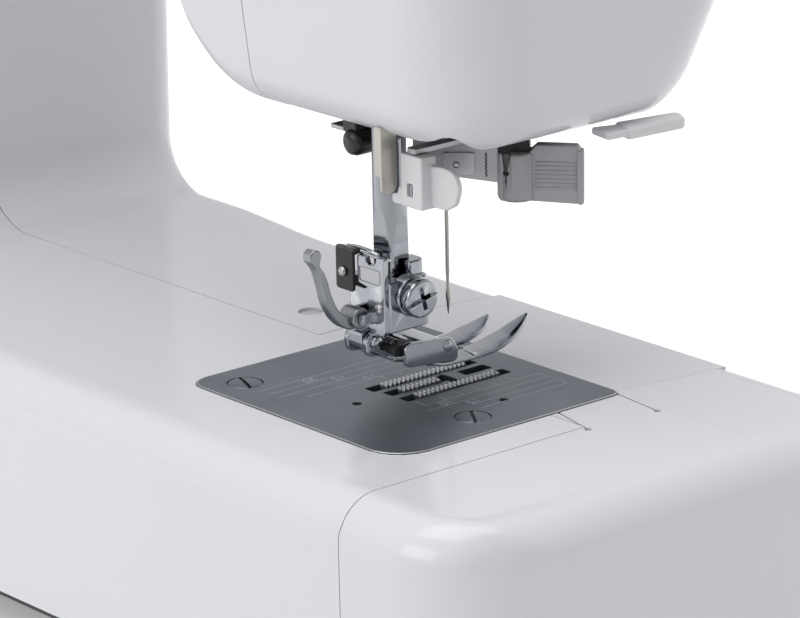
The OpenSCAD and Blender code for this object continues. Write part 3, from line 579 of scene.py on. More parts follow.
def casing_half(inner, outer, side, parting, inner_round=9.0, top_round=14.0):
    """Half of the casing's skin for a run of stations. side is +1 for the back half and -1 for the front half.
    Each station's section runs from the parting plane along the inside of the C, round a quarter circle of
    inner_round,
    out along the face, over the top's quarter circle, and back across the top to the parting plane.
    Near the bed's free end and the head's end both points are drawn in, so the corners are rounded every way.
    Returns the points and which rows have a top."""
    bed = inner[:, 1] < 30
    head = (inner[:, 1] > 50) & (inner[:, 0] < 60)
    side_in = np.where(bed, drawn_in(inner[:, 0] - FREE_END, BED_CORNER),
                       0) + np.where(head, drawn_in(inner[:, 0] - HEAD_END, 21), 0)
    low, high = inner.copy(), outer.copy()
    low[:, 1] += np.where(bed, -drawn_in(inner[:, 0] - FREE_END, 11),
                          0) + np.where(head, drawn_in(inner[:, 0] - HEAD_END, 9), 0)
    high[:, 1] -= np.where(head, drawn_in(outer[:, 0] - HEAD_END, 18), 0)
    topped = outer[:, 1] > ARM_TOP - 0.01
    length = np.linalg.norm(high - low, axis=1)[:, None]
    quarter = np.linspace(0, math.pi / 2, 9)[None]
    middle = np.linspace(0, 1, 18)[None, 1:-1]
    reach = np.concatenate([inner_round * (1 - np.cos(quarter)) + 0 * length,
                            inner_round + (length - inner_round - top_round) * middle,
                            length - top_round * (1 - np.sin(quarter))], 1)
    spot = low[:, None] + ((high - low) / length)[:, None] * reach[..., None]
    face = back_face(spot[..., 0], spot[..., 1]) if side > 0 else front_face(spot[..., 0], spot[..., 1])
    crown = np.where(topped, high[:, 1], ARM_TOP)[:, None]
    inset = side_in[:, None] + drawn_in(reach, inner_round)
    inset = inset + drawn_in(np.maximum(crown - spot[..., 1], 0), top_round)
    y = face - side * inset
    edge = y[:, :1]
    if side > 0:
        flat = parting[:, None] + (edge - parting[:, None]) * np.linspace(0, 1, 27)[None, :-1]
    else:
        crease = np.where(bed, FRONT_CREASE, (edge[:, 0] - parting) / 2)[:, None]
        flat = np.concatenate([-parting[:, None] + (crease + 0.2 + parting[:, None]) * np.linspace(0, 1, 11)[None],
                               crease - 0.2 + (edge - crease + 0.2) * np.linspace(0, 1, 16)[None, :-1]], 1)
    shelf = np.stack([low[:, :1] + 0 * flat, flat, low[:, 1:] + 0 * flat], -1)
    wall = np.stack([spot[..., 0], y, spot[..., 1]], -1)
    lid = y[:, -1:] + (side * parting[:, None] - y[:, -1:]) * np.linspace(0, 1, 12)[None, 1:]
    lid = np.stack([high[:, :1] + 0 * lid, lid, high[:, 1:] + 0 * lid], -1)
    skin = np.concatenate([shelf, wall, lid], 1)
    if side < 0:
        slope = 0.055 * np.clip(FRONT_CREASE - skin[..., 1], 0, 60) * ease(skin[..., 2], -30, -5)
        skin[..., 2] -= slope * (bed * (1 - ease(inner[:, 0], 110, 150)))[:, None]
    return skin, topped, lid.shape[1]


def skin_faces(skin, topped, lid_columns, side, start=0):
    """Quads of a casing half, without the top where a station has none, wound so that they face outwards."""
    rows, cols = skin.shape[:2]
    faces = np.array(grid_faces(rows, cols)).reshape(rows - 1, cols - 1, 4)
    keep = np.ones((rows - 1, cols - 1), bool)
    keep[:, cols - 1 - lid_columns:] = (topped[:-1] & topped[1:])[:, None]
    quads = faces[keep]
    return (quads[:, ::-1] if side > 0 else quads) + start


def merge_close(obj, distance=0.00001):
    """Joins vertices that lie on each other and drops any that no face uses."""
    work = bmesh.new()
    work.from_mesh(obj.data)
    bmesh.ops.remove_doubles(work, verts=work.verts, dist=distance)
    bmesh.ops.dissolve_degenerate(work, dist=distance, edges=work.edges)
    bmesh.ops.delete(work, geom=[v for v in work.verts if not v.link_faces], context="VERTS")
    work.to_mesh(obj.data)
    work.free()


def shell_wall(obj, thickness=0.0022):
    """Gives a skin its wall, inwards."""
    wall = obj.modifiers.new("wall", "SOLIDIFY")
    wall.thickness = thickness
    wall.offset = -1
    settle(obj)


def bar_block(low, high):
    """A plain closed box between two corners, for cutting."""
    a, b = np.array(low, float), np.array(high, float)
    corners = np.array([[x, y, z] for z in (0, 1) for y in (0, 1) for x in (0, 1)]) * (b - a) + a
    return corners, [[0, 2, 3, 1], [4, 5, 7, 6], [0, 1, 5, 4], [2, 6, 7, 3], [0, 4, 6, 2], [1, 3, 7, 5]]


def make_casing():
    """The four shells, cut from one C-shaped skin along their seams, with walls, openings and rolled edges."""
    inner, outer = casing_path()
    seam_row = int(np.argmin(np.abs(inner[:, 0] - 36) + (inner[:, 1] < 30) * 999))
    rear_row = int(np.argmax((inner[:, 0] > REAR_START + SEAM / 2) & (inner[:, 1] < 1)))
    inner[rear_row, 0] = outer[rear_row, 0] = REAR_START
    pieces = {}

    def build(name, runs):
        """Skins of a shell's runs of stations in one list, and each run's skin, first index and lid columns."""
        parts, faces, spans, start = [], [], [], 0
        for rows, side, parting, shift_first, shift_last in runs:
            a, b = inner[rows].copy(), outer[rows].copy()
            a[0, 0] += shift_first
            b[0, 0] += shift_first
            a[-1, 0] += shift_last
            b[-1, 0] += shift_last
            plane = np.where(a[:, 0] < parting, 0, SEAM / 2) if parting is not None else np.zeros(len(a))
            if name == "face_cover":
                plane = np.full(len(a), -HEAD_PARTING * side)
            skin, topped, lid = casing_half(a, b, side, plane)
            faces += skin_faces(skin, topped, lid, side, start).tolist()
            parts.append(skin.reshape(-1, 3))
            spans.append((skin, start, lid))
            start += skin.shape[0] * skin.shape[1]
        return np.concatenate(parts), faces, spans

    points, faces, _ = build("rear_shell", [(slice(rear_row, seam_row + 1), 1, -999, SEAM / 2, SEAM / 2)])
    pieces["rear"] = make("rear_casing", points, faces, "root", "shell_white", ("rear_shell",))
    points, faces, spans = build("front_shell", [(slice(0, seam_row + 1), -1, REAR_START, 0, SEAM / 2),
                                                 (slice(0, rear_row + 1), 1, None, 0, -SEAM / 2)])
    (front, start_f, lid), (_, start_b, _) = spans
    cols = front.shape[1] - lid
    cap = [start_f + k for k in range(cols - 1, -1, -1)] + [start_b + k for k in range(1, cols)]
    faces.append(cap[::-1])
    pieces["front"] = make("front_casing", points, faces, "root", "shell_white", ("front_shell",))
    points, faces, spans = build("face_cover", [(slice(seam_row, None), side, None, -SEAM / 2,
                                                 0) for side in (-1, 1)])
    (front, start_f, _), (_, start_b, _) = spans
    rows, cols = front.shape[:2]
    last = (rows - 1) * cols
    ring = [start_f + last + k for k in range(cols)] + [start_b + last + k for k in range(cols - 2, 0, -1)]
    faces.append(ring)
    pieces["face"] = make("head_cover", points, faces, "root", "shell_white", ("face_cover",))
    pieces["belt"] = make_belt_cover()
    for shell in pieces.values():
        merge_close(shell)
        outwards(shell)
        shell_wall(shell)
    plate_hole = slab(rounded([(-33.6, -21.4, 2.6), (39.2, -21.4, 0.3), (39.2, 43.7, 5.2), (-33.6, 43.7, 9)], 1), -8,
                      2, edge=0)
    side_hole = bar_block((39.1, -22, -8), (46.3, 0.0, 2))
    cover_hole = slab(rounded([(-31.3, -55.3, 3), (45.8, -55.3, 3), (45.8, -20.8, 0.2), (-31.3, -20.8, 0.2)], 1), -8,
                      2, edge=0)

    def slit(a, b):
        return slab(rounded(strip_outline(a, b, 0.55), 0.2), -8, 2, edge=0)

    ends = [spun([(0.85, -8), (0.85, 2)], (x, y, 0), sides=20) for x, y in ((-46.2, 0.6), (-47.4, -18.6))]
    carve(pieces["front"], [plate_hole, side_hole, cover_hole, slit((-33, -2.4), (-46.2, 0.6)),
                            slit((-33, -20.3), (-47.4, -18.6)), *ends,
                            spun([(3.0, -8), (3.0, 2)], BUTTON_CENTRE, sides=40),
                            bar_block((70, -56, 194), (206, -6, 220)), bar_block((221.6, -90, 99), (234.4, -60, 125)),
                            spun([(4.4, 200), (4.4, 220)], (236, -26, 0), sides=32)])
    carve(pieces["rear"], [plate_hole, spun([(2.9, 200), (2.9, 220)], (214, 10, 0), sides=32)])
    carve(pieces["rear"], [bar_block((39.3, -21.2, -2.2), (46, 0.2, 0))], "UNION")
    carve(pieces["face"], [slab(rounded([(-26, -30), (33, -30), (33, 20), (-26, 20)], 5), 50, 66, edge=0),
                           bar_block((-9.8, -90, 112), (-3.2, -60, 190))])
    carve(pieces["belt"], [bar_block((270, 22, -44), (290, 46, -24)), bar_block((270, 25, -10), (290, 43, 14)),
                           spun([(5.5, 270), (5.5, 290)], WHEEL_CENTRE, "x", 32)])
    for shell in pieces.values():
        soften(shell, SHELL_RIM, 3, 50)


def strip_outline(a, b, width):
    """A thin four-cornered outline round the line from a to b."""
    a, b = np.array(a, float), np.array(b, float)
    along = (b - a) / np.linalg.norm(b - a)
    across = np.array([-along[1], along[0]]) * width / 2
    return [tuple(a - across), tuple(b - across), tuple(b + across), tuple(a + across)]


def make_belt_cover():
    """The right-hand end: the pillar's section carried along x, drawn in by quarter circles at the end face."""
    x = np.concatenate([[BELT_SEAM + SEAM / 2], np.linspace(264, 272, 4),
                        RIGHT_END - 8 * (1 - np.sin(np.linspace(0, math.pi / 2, 9)[1:]))])
    quarter = np.linspace(0, math.pi / 2, 9)
    rise = np.concatenate([np.linspace(SKIRT, ARM_TOP - 14, 40)[:-1], ARM_TOP - 14 * (1 - np.sin(quarter))])
    back = back_face(np.full_like(rise, 270.0), rise) - drawn_in(ARM_TOP - rise, 14)
    front = front_face(np.full_like(rise, 270.0), rise) + drawn_in(ARM_TOP - rise, 14)
    across = np.linspace(0, 1, 14)[1:-1]
    y = np.concatenate([back, back[-1] + (front[-1] - back[-1]) * across, front[::-1]])
    z = np.concatenate([rise, np.full(len(across), ARM_TOP), rise[::-1]])
    centre_y = (back.mean() + front.mean()) / 2
    sign = np.sign(y - centre_y)
    end_in = drawn_in(RIGHT_END - x, 8)[:, None]
    on_top = ease(z, ARM_TOP - 40, ARM_TOP)[None]
    yy = y[None] - sign[None] * end_in * (np.abs(y - centre_y) / np.maximum(np.interp(z, rise, (back - front) / 2),
                                                                            1))[None].clip(0, 1)
    zz = z[None] - end_in * on_top
    points = np.stack([np.broadcast_to(x[:, None], yy.shape), yy, zz], -1)
    rows, cols = yy.shape
    faces = grid_faces(rows, cols)
    faces.append([(rows - 1) * cols + k for k in range(cols)])
    return make("belt_side_cover", points.reshape(-1, 3), faces, "root", "shell_white", ("belt_cover",))


def make_handle_well():
    """The hollow under the carrying handle: a thin-walled tray hung inside the opening."""
    tray = bar_block((69.2, -56.8, 192.6), (206.8, -5.2, 210.2))
    fused("handle_well", [tray], "root", "shell_white", (), [bar_block((70.2, -55.8, 193.8), (205.8, -6.2, 215))],
          0.3)


# ---------- small tools for the fittings ----------
def posed(shape, origin, across, up, out):
    """A shape drawn in its own three directions, carried to a place on the machine."""
    points, faces = shape
    return np.asarray(origin, float) + points @ np.array([across, up, out], float), faces


def loft(sections):
    """Closed sections joined one after another, with both ends closed."""
    rows, cols = sections.shape[:2]
    faces = grid_faces(rows, cols, True)
    faces.append(list(range(cols - 1, -1, -1)))
    faces.append([(rows - 1) * cols + k for k in range(cols)])
    return sections.reshape(-1, 3), faces


def piece(name, shapes, body, slot, replaces=(), cuts=(), rim=None, angle=40):
    """Closed shapes gathered in one piece, cut where asked, with an optional rim."""
    solid = Solid()
    for shape in shapes:
        solid.add(*shape)
    points, faces = solid.merged()
    obj = outwards(make(name, points, faces, body, slot, replaces))
    carve(obj, cuts)
    if rim:
        soften(obj, rim * MM, 2, angle)
    else:
        even_shading(obj)


def fused(name, shapes, body, slot, replaces=(), cuts=(), rim=0.15, angle=40):
    """Closed shapes united into one body before cutting, so that no inner walls remain."""
    obj = outwards(make(name, *shapes[0], body, slot, replaces))
    carve(obj, shapes[1:], "UNION")
    carve(obj, cuts)
    soften(obj, rim * MM, 2, angle)


# ---------- needle plate ----------
FEED_ROWS = ((6.1, -9.6, 14.8), (1.1, 2, 13.7), (-4.3, -10.6, 13.7))
PLATE_SCREWS = ((29.4, 34.7), (-23.4, 13.5))
PLATE_TOP = 0.3


def make_plate():
    """The ground plate with its slots, and the marks etched in it."""
    outline = rounded([(-33.3, -21.1, 2.5), (38.9, -21.1, 2.5), (38.9, 43.4, 5), (-33.3, 43.4, 9)], steps=8)
    plate = make("needle_plate_ground", *slab(outline, -1.6, PLATE_TOP, edge=0.05, top_edge=0.3), "root",
                 "plate_steel", ("needle_plate",))
    cuts = [slab(rounded([(x - 1.7, a - 2.6), (x + 1.7, a - 2.6), (x + 1.7, b + 3.4), (x - 1.7, b + 3.4)], 0.5), -3,
                 1, edge=0) for x, a, b in FEED_ROWS]
    cuts += [slab(rounded([(-0.6, -12.2), (2.8, -12.2), (2.8, -4.4), (-0.6, -4.4)], 0.5), -3, 1, edge=0),
             slab(rounded([(-3.5, -1.1), (3.5, -1.1), (3.5, 1.1), (-3.5, 1.1)], 1), -3, 1, edge=0)]
    cuts += [spun([(1.1, -3), (1.1, 1)], (x, y, 0), sides=24) for x, y in ((0.8, 26), (-19.4, 1))]
    cuts += [spun([(2.1, -3), (2.1, -1.1), (4.15, -0.3), (4.15, 1)], (x, y, 0), sides=40) for x, y in PLATE_SCREWS]
    carve(plate, cuts)
    soften(plate, 0.00008, 1, 60)
    # A bright steel ring laid over the plate's rounded top edge: a painted edge highlight.
    ring = np.concatenate([outline, outline[:1]]) - 0.12 * np.concatenate([outline_normals(outline),
                                                                           outline_normals(outline)[:1]])
    piece("plate_edge_highlight", [wire(np.column_stack([ring, np.full(len(ring), 0.1)]), 0.24, 10)], "root", "rivet_steel")

    marks = []

    def line(x0, y0, x1, y1, w=0.22):
        marks.append(slab(strip_outline((x0, y0), (x1, y1), w), PLATE_TOP, PLATE_TOP + 0.012, edge=0))

    for x, y0, y1 in ((12.2, -17, 31), (16.0, -17, 36), (19.2, -17, 36), (22.4, -17, 36), (-10.6, -17, 16),
                      (-13.8, -17, 18), (-17.0, -17, 8), (-20.2, -17, 8)):
        line(x, y0, x, y1)
    for x0, x1, y in ((12.2, 22.4, -17), (-10.6, -20.2, -17), (9.2, 12.2, 20), (-7.4, -10.6, 16)):
        line(x0, y, x1, y)
    for y in (-10, -5, 0, 5, 10):
        line(-8.2, y, -10.6, y, 0.18)
        line(9.6, y, 12.2, y, 0.18)
    piece("plate_lines", marks, "root", "etched")
    for label, x, y in (("10", 13.4, 11.9), ("15", 17.6, 17.6), ("20", 20.8, 23.2), ("10", -12.2, 11.5),
                        ("15", -15.4, 6.5)):
        plate_number(label, x, y, 2.6)


def plate_number(text, x, y, height):
    """A seam-guide number, raised a hair over the plate, read from the front."""
    curve = bpy.data.curves.new("number_" + text, "FONT")
    curve.body = text
    curve.size = height * MM * 1.35
    curve.extrude = 0.000006
    curve.align_x, curve.align_y = "CENTER", "CENTER"
    carrier = bpy.data.objects.new("carrier", curve)
    bpy.context.scene.collection.objects.link(carrier)
    bpy.context.view_layer.update()
    mesh = bpy.data.meshes.new_from_object(carrier.evaluated_get(bpy.context.evaluated_depsgraph_get()))
    bpy.data.objects.remove(carrier)
    bpy.data.curves.remove(curve)
    flat = np.empty(len(mesh.vertices) * 3)
    mesh.vertices.foreach_get("co", flat)
    flat = flat.reshape(-1, 3)
    turned = np.column_stack([-flat[:, 1], flat[:, 0], flat[:, 2]])
    mesh.vertices.foreach_set("co", (turned + to_row([(x, y, 0.308)])[0]).ravel())
    mesh.materials.clear()
    mesh.materials.append(MATERIALS["etched"])
    obj = bpy.data.objects.new("plate_number_%s_%d" % (text, round(abs(x))), mesh)
    bpy.context.scene.collection.objects.link(obj)
    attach(obj, "root")


def make_plate_screws():
    """Countersunk slotted screws."""
    heads, cuts = [], []
    for (x, y), turn in zip(PLATE_SCREWS, (-20, -34)):
        heads.append(spun([(0, -7.8), (2.0, -7.8), (2.0, -1.2), (3.95, -0.3), (3.95, 0.1), (3.7, 0.32), (0, 0.48)],
                          (x, y, 0), sides=44))
        a = math.radians(turn)
        cuts.append(posed(bar_block((-6, -0.42, -0.5), (6, 0.42, 2)), (x, y, 0), (math.cos(a), math.sin(a), 0),
                          (-math.sin(a), math.cos(a), 0), (0, 0, 1)))
    piece("plate_screw_heads", heads, "root", "screw_steel", ("plate_screws",), cuts, 0.06, 30)


def make_feed_teeth():
    """Three toothed rows: each row's top is a saw wave along y, cut by a groove down its middle."""
    shapes = [bar_block((-5.5, 2, -5), (7.3, 13.7, -2.5))]
    pitch = 1.25
    for x, y0, y1 in FEED_ROWS:
        count = int((y1 - y0) / pitch)
        for side in (-1, 1):
            outline = [(y0, -2.6)]
            for k in range(count):
                outline += [(y0 + k * pitch, 0.05), (y0 + (k + 0.62) * pitch, 0.85), (y0 + (k + 0.85) * pitch, 0.85),
                            (y0 + (k + 0.98) * pitch, 0.05)]
            outline += [(y0 + count * pitch, -2.6)]
            shapes.append(slab(outline, x + (0.12 if side > 0 else -1.2), x + (1.2 if side > 0 else -0.12), "x",
                               edge=0))
        shapes.append(bar_block((x - 0.6, y0 + 0.2, -2.5), (x + 0.6, y0 + count * pitch - 0.2, -0.1)))
    piece("feed_teeth_rows", shapes, "feed_teeth", "dog_steel", ("feed_dog",), rim=0.06)


def make_hook_cover():
    """The sliding cover, following the slope of the bed's front strip."""
    x = np.linspace(-31.1, 45.6, 3)
    y = np.array([-55.1, -54.9, -50, -40, -30, -21.5, -21.35])
    top = -0.055 * (FRONT_CREASE - y)
    top[[0, -1]] -= 0.12
    points, faces = [], []
    for level in (top, top - 2.0):
        gx, gy = np.meshgrid(x, y, indexing="ij")
        points.append(np.stack([gx, gy, np.broadcast_to(level, gx.shape)], -1).reshape(-1, 3))
    n, cols = len(x), len(y)
    upper = grid_faces(n, cols)
    lower = [f[::-1] for f in grid_faces(n, cols, start=n * cols)]
    edge = [k for k in range(cols)] + [r * cols + cols - 1 for r in range(1, n)]
    edge += [(n - 1) * cols + k for k in range(cols - 2, -1, -1)] + [r * cols for r in range(n - 2, 0, -1)]
    walls = [[a, b, b + n * cols, a + n * cols] for a, b in zip(edge, edge[1:] + edge[:1])]
    solid = Solid().add(np.concatenate(points), upper + lower + walls)
    solid.add(*bar_block((-29.5, -48, -5), (-27.5, -26, -3.2)))
    obj = make("hook_cover_plate", *solid.merged(), "cover_slide", "shell_white", ("hook_cover",))
    outwards(obj)
    even_shading(obj)
    button = spun([(0, -7.9), (4.1, -7.9), (4.1, -6.1), (2.75, -6.1), (2.75, -0.75), (2.5, -0.5), (1.2, -0.62),
                   (0, -0.68)], BUTTON_CENTRE, sides=48)
    piece("cover_button_cap", [button], "release_button", "button_grey", ("cover_button",))


# ---------- foot and holder ----------
BAR_AXIS, BAR_RADIUS = (0, 16, 0), 3.8
CROSS_PIN, RIVET_SPOT = (0, 23.4, 14.6), (0, 7.3, 11.5)
SCREW_CENTRE, LATCH_PIVOT = (0, 16.8, 25), (0, 26.4, 20.4)


def make_foot():
    """The foot: a sole bent like a ski under two toes, side walls with rivets, and two ears for the cross pin."""
    def sole_height(y):
        return softened(y, [-20, -16.4, -12, -7, -2, 8, 13, 18, 24],
                        [11.9, 10.0, 7.9, 6.55, 6.2, 6.45, 7.9, 10.2, 11.0], 1.2)

    def ribbon(y, left, right, thick, crown=0.25):
        """Sections across x: a band between left and right, thick deep, rounded at both edges and slightly
        crowned."""
        t = np.linspace(0, 2 * math.pi, 20, endpoint=False)
        c, s = np.cos(t), np.sin(t)
        u = np.sign(c) * np.abs(c) ** 0.55
        w = np.sign(s) * np.abs(s) ** 0.55
        mid, half = (left + right) / 2, (right - left) / 2
        x = mid[:, None] + half[:, None] * u
        z = sole_height(y)[:, None] + thick[:, None] / 2 * (1 + w) + crown * (1 - u ** 2) * (w > 0)
        return np.stack([x, np.broadcast_to(y[:, None], x.shape), z], -1)

    shapes = []
    y = np.linspace(21.5, -2.2, 26)
    shapes.append(loft(ribbon(y, np.full_like(y, -8.2) + 0.9 * ease(y, 16, 22),
                              np.full_like(y, 8.2) - 0.9 * ease(y, 16, 22), np.full_like(y, 1.5))))
    for side in (-1, 1):
        long = 6.9 if side < 0 else 3.6
        y = np.concatenate([np.linspace(-0.5, -12, 14), -12 - long * np.sin(np.linspace(0, math.pi / 2, 12)[1:])])
        t = np.clip((-y - 6) / (6 + long), 0, 1)
        outer = 8.2 - 3.0 * t ** 2.6
        inner = 1.5 + 0.3 * t + 2.4 * t ** 3.6
        thick = 1.65 - 0.4 * t
        left, right = (-outer, -inner) if side < 0 else (inner, outer)
        shapes.append(loft(ribbon(y, left, right, thick, 0.1)))
    wall = rounded([(4.6, 7.6, 0.8), (19.2, 9.0, 1.2), (19.6, 13.9, 1.6), (17.6, 14.3, 0.8), (6.2, 13.3, 1.6),
                    (4.3, 10.4, 1.4)], steps=5)
    shapes += [slab(wall, -8.35, -6.9, "x", 0.3), slab(wall, 6.9, 8.35, "x", 0.3)]
    shapes.append(slab(rounded([(4.9, 7.6, 0.6), (12.5, 7.6, 0.6), (12.3, 12.9, 1.2), (6.0, 12.4, 1.4)], steps=4),
                       -7.4, 7.4, "x", 0.3))
    ear = rounded([(21.0, 11.2, 0.6), (25.6, 11.6, 1.5), (26.1, 15.6, 1.8), (23.6, 17.3, 1.8), (21.0, 15.6, 1.6),
                   (19.4, 11.8, 0.5)], steps=5)
    shapes += [slab(ear, -2.9, -1.5, "x", 0.25), slab(ear, 3.5, 4.9, "x", 0.25)]
    shapes.append(slab(rounded([(17.4, 10.4), (22.0, 11.0), (22.4, 12.0), (17.4, 11.8)], 0.3), -6.4, 6.4, "x", 0.2))
    cuts = [slab(rounded([(-3.6, -1.7), (3.6, -1.7), (3.6, 3.4), (-3.6, 3.4)], 0.9), 3, 12, edge=0),
            bar_block((-1.1, -14, 3), (1.1, 0, 12)),
            slab(rounded([(13.6, 8.9), (16.9, 9.9), (16.9, 13), (13.6, 13)], 0.6), -5.2, 5.2, "x", edge=0)]
    fused("presser_foot_body", shapes, "foot", "foot_chrome", ("presser_foot",), cuts, 0.12)
    # Near-black blocks filling the hollow in the foot behind the latch: painted shade in the recess.
    piece("foot_latch_well_shade", [slab(rounded([(13.4, 8.6), (21.4, 10.6), (21.0, 13.9), (14.6, 13.4)], 0.4), -6.6, -1.2,
                                   "x", 0.2),
                              slab(rounded([(13.4, 8.6), (21.4, 10.6), (21.0, 13.4), (14.6, 12.9)], 0.4), 0.4, 6.6,
                                   "x", 0.2)], "foot", "pocket_dark")
    rivets = [spun([(0, -8.75), (0.9, -8.72), (1.25, -8.55), (1.25, -8.2), (0, -8.2)], RIVET_SPOT, "x", 28),
              spun([(0, 8.2), (1.25, 8.2), (1.25, 8.55), (0.9, 8.72), (0, 8.75)], RIVET_SPOT, "x", 28)]
    piece("foot_rivets", rivets, "foot", "rivet_steel")
    cross = [spun([(0, -3.8), (1.2, -3.8), (1.45, -3.55), (1.45, -3.1), (1.05, -3.0), (1.05, 5.0), (1.45, 5.1),
                   (1.45, 5.6), (1.2, 5.8), (0, 5.8)], CROSS_PIN, "x", 32)]
    piece("foot_cross_pin", cross, "foot", "foot_chrome", ("foot_pin",))
    coil = np.linspace(0, 2 * math.pi * 6, 6 * 18)
    path = np.column_stack([-4.0 + 8.0 * coil / coil[-1], 18.9 + 1.15 * np.cos(coil), 13.4 + 1.15 * np.sin(coil)])
    piece("foot_latch_spring", [wire(path, 0.28, 8)], "foot", "spring_steel")


def make_holder():
    """The holder: a clamp block on the bar, a stamped back plate with a blank badge, a boss for the screw, and its
    latch."""
    back = rounded([(-6.7, 16.6, 1.2), (-6.7, 34.2, 0.5), (-4.3, 34.2, 0.4), (-3.7, 32.3, 0.6), (-1.0, 32.0, 0.6),
                    (-0.4, 33.6, 0.4), (2.3, 33.6, 0.4), (2.3, 27.4, 0.3),
                    (-1.3, 26.8, 0.6), (-1.3, 17.8, 0.4), (-2.4, 16.6, 0.6)], steps=4)
    shapes = [slab(back, 22.4, 23.8, "y", 0.2),
              slab(rounded([(-6.7, 10.4, 2.2), (7.2, 10.4, 2.2), (7.2, 22.5, 0.8), (-6.7, 22.5, 0.8)], steps=6), 17.0,
                   28.3, "z", 0.35),
              slab(rounded([(-5.2, 10.4, 2.2), (7.2, 10.4, 2.2), (7.2, 15.4, 0.8), (-5.2, 15.4, 0.8)], steps=6), 27.5,
                   31.6, "z", 0.35),
              spun(pin(-8.7, -5.5, 4.6, 0.35), SCREW_CENTRE, "x", 56),
              slab(rounded([(20.6, 12.9, 0.6), (26.0, 13.4, 1.2), (26.0, 17.0, 0.8), (20.6, 17.6, 0.5)], steps=4),
                   -1.3, 3.3, "x", 0.2),
              bar_block((-3.3, 23.2, 19.4), (-2.3, 27.3, 21.5)), bar_block((3.3, 21.9, 19.4), (4.3, 27.3, 21.5)),
              spun(pin(-3.3, 4.3, 0.95, 0.1), LATCH_PIVOT, "x", 24)]
    cuts = [spun([(3.82, 10), (3.82, 40)], BAR_AXIS, sides=48), spun([(2.1, -12), (2.1, -3)], SCREW_CENTRE, "x", 32),
            bar_block((-0.6, 8, 18.5), (0.6, 14, 40)),
            slab(rounded([(-5.6, 27.9), (1.6, 27.9), (1.6, 31.5), (-5.6, 31.5)], 0.5), 23.62, 24.5, "y", edge=0)]
    fused("foot_holder", shapes, "presser", "foot_chrome", ("ankle",), cuts, 0.12)
    badge = slab(rounded([(-5.3, 28.2), (1.3, 28.2), (1.3, 31.2), (-5.3, 31.2)], 0.4), 23.5, 23.78, "y", 0.08)
    piece("holder_blank_badge", [badge], "presser", "rivet_steel")
    rivet = [spun([(0, 24.5), (0.7, 24.42), (1.15, 24.2), (1.2, 23.7), (0, 23.7)], (-4.9, 0, 22.6), "y", 30)]
    piece("holder_rivet", rivet, "presser", "rivet_steel")
    clip = [slab(rounded([(2.7, 25.0, 0.8), (8.6, 25.0, 0.8), (8.6, 34.2, 0.5), (2.7, 34.2, 0.5)], steps=4), 23.9,
                 24.7, "y", 0.2),
            slab(rounded([(22.4, 33.5, 0.3), (24.1, 33.3, 0.3), (24.8, 34.2, 0.8), (24.2, 34.8, 0.6),
                          (22.4, 34.4, 0.3)], steps=4), 2.7, 8.6, "x", 0.15)]
    piece("latch_clip", clip, "presser", "clip_black", ("snap_clip",))
    fold = [slab(rounded([(20.6, 32.7, 0.3), (23.0, 33.5, 0.3), (23.0, 34.3, 0.3), (20.6, 33.6, 0.3)], steps=3), -5.8,
                 8.4, "x", 0.15),
            wire(smooth_curve([(8.2, 21.4, 33.9), (4, 21.9, 34.5), (-0.4, 22.3, 34.6), (-3.0, 22.0, 34.0)], 6), 0.45,
                 10)]
    piece("clip_fold", fold, "presser", "foot_chrome")
    piece("clip_rivet", [spun([(0, 25.7), (0.75, 25.6), (1.15, 25.3), (1.2, 24.7), (0, 24.7)], (5.9, 0, 29.2), "y",
                              30)], "presser", "rivet_steel")
    inner = smooth_curve([(25.2, 20.6), (28.6, 21.2), (31.6, 23.2), (33.5, 27.0), (34.9, 31.4), (36.6, 34.2)], 6)
    outer = smooth_curve([(39.2, 35.6), (37.4, 33.2), (36.2, 29.6), (35.0, 25.0), (32.6, 20.9), (29.4, 18.4),
                          (25.2, 18.0)], 6)
    knob = np.array([[36.3, 35.4], [36.0, 36.6], [36.6, 37.6], [37.9, 38.0], [39.1, 37.2]])
    lever = slab(np.concatenate([inner, knob, outer]), -0.9, 1.9, "x", 0.35)
    hub = spun(pin(-2.0, 3.0, 2.35, 0.3), LATCH_PIVOT, "x", 36)
    fused("latch_lever", [lever, hub], "foot_release", "lever_steel", ("snap_lever",),
          [spun([(1.02, -5), (1.02, 6)], LATCH_PIVOT, "x", 24)], 0.1)


def make_thumb_screw():
    """A slotted screw with a cross recess."""
    head = spun([(0, -11.6), (3.7, -11.58), (4.15, -11.4), (4.35, -11.0), (4.35, -9.5), (4.15, -9.2), (3.6, -9.1),
                 (3.4, -8.8), (2.0, -8.8), (2.0, -4.2), (0, -4.0)], SCREW_CENTRE, "x", 64)
    tilt = math.radians(14)
    across, up = (0, math.cos(tilt), -math.sin(tilt)), (0, math.sin(tilt), math.cos(tilt))
    cuts = [posed(bar_block((-w, -h, -0.1), (w, h, deep)), (-11.7, *SCREW_CENTRE[1:]), across, up, (1, 0, 0))
            for w, h, deep in ((5, 0.55, 0.9), (0.55, 2.6, 1.7), (2.6, 0.55, 1.7))]
    piece("holder_screw", [head], "ankle_screw", "foot_chrome", ("thumb_screw",), cuts, 0.12, 35)


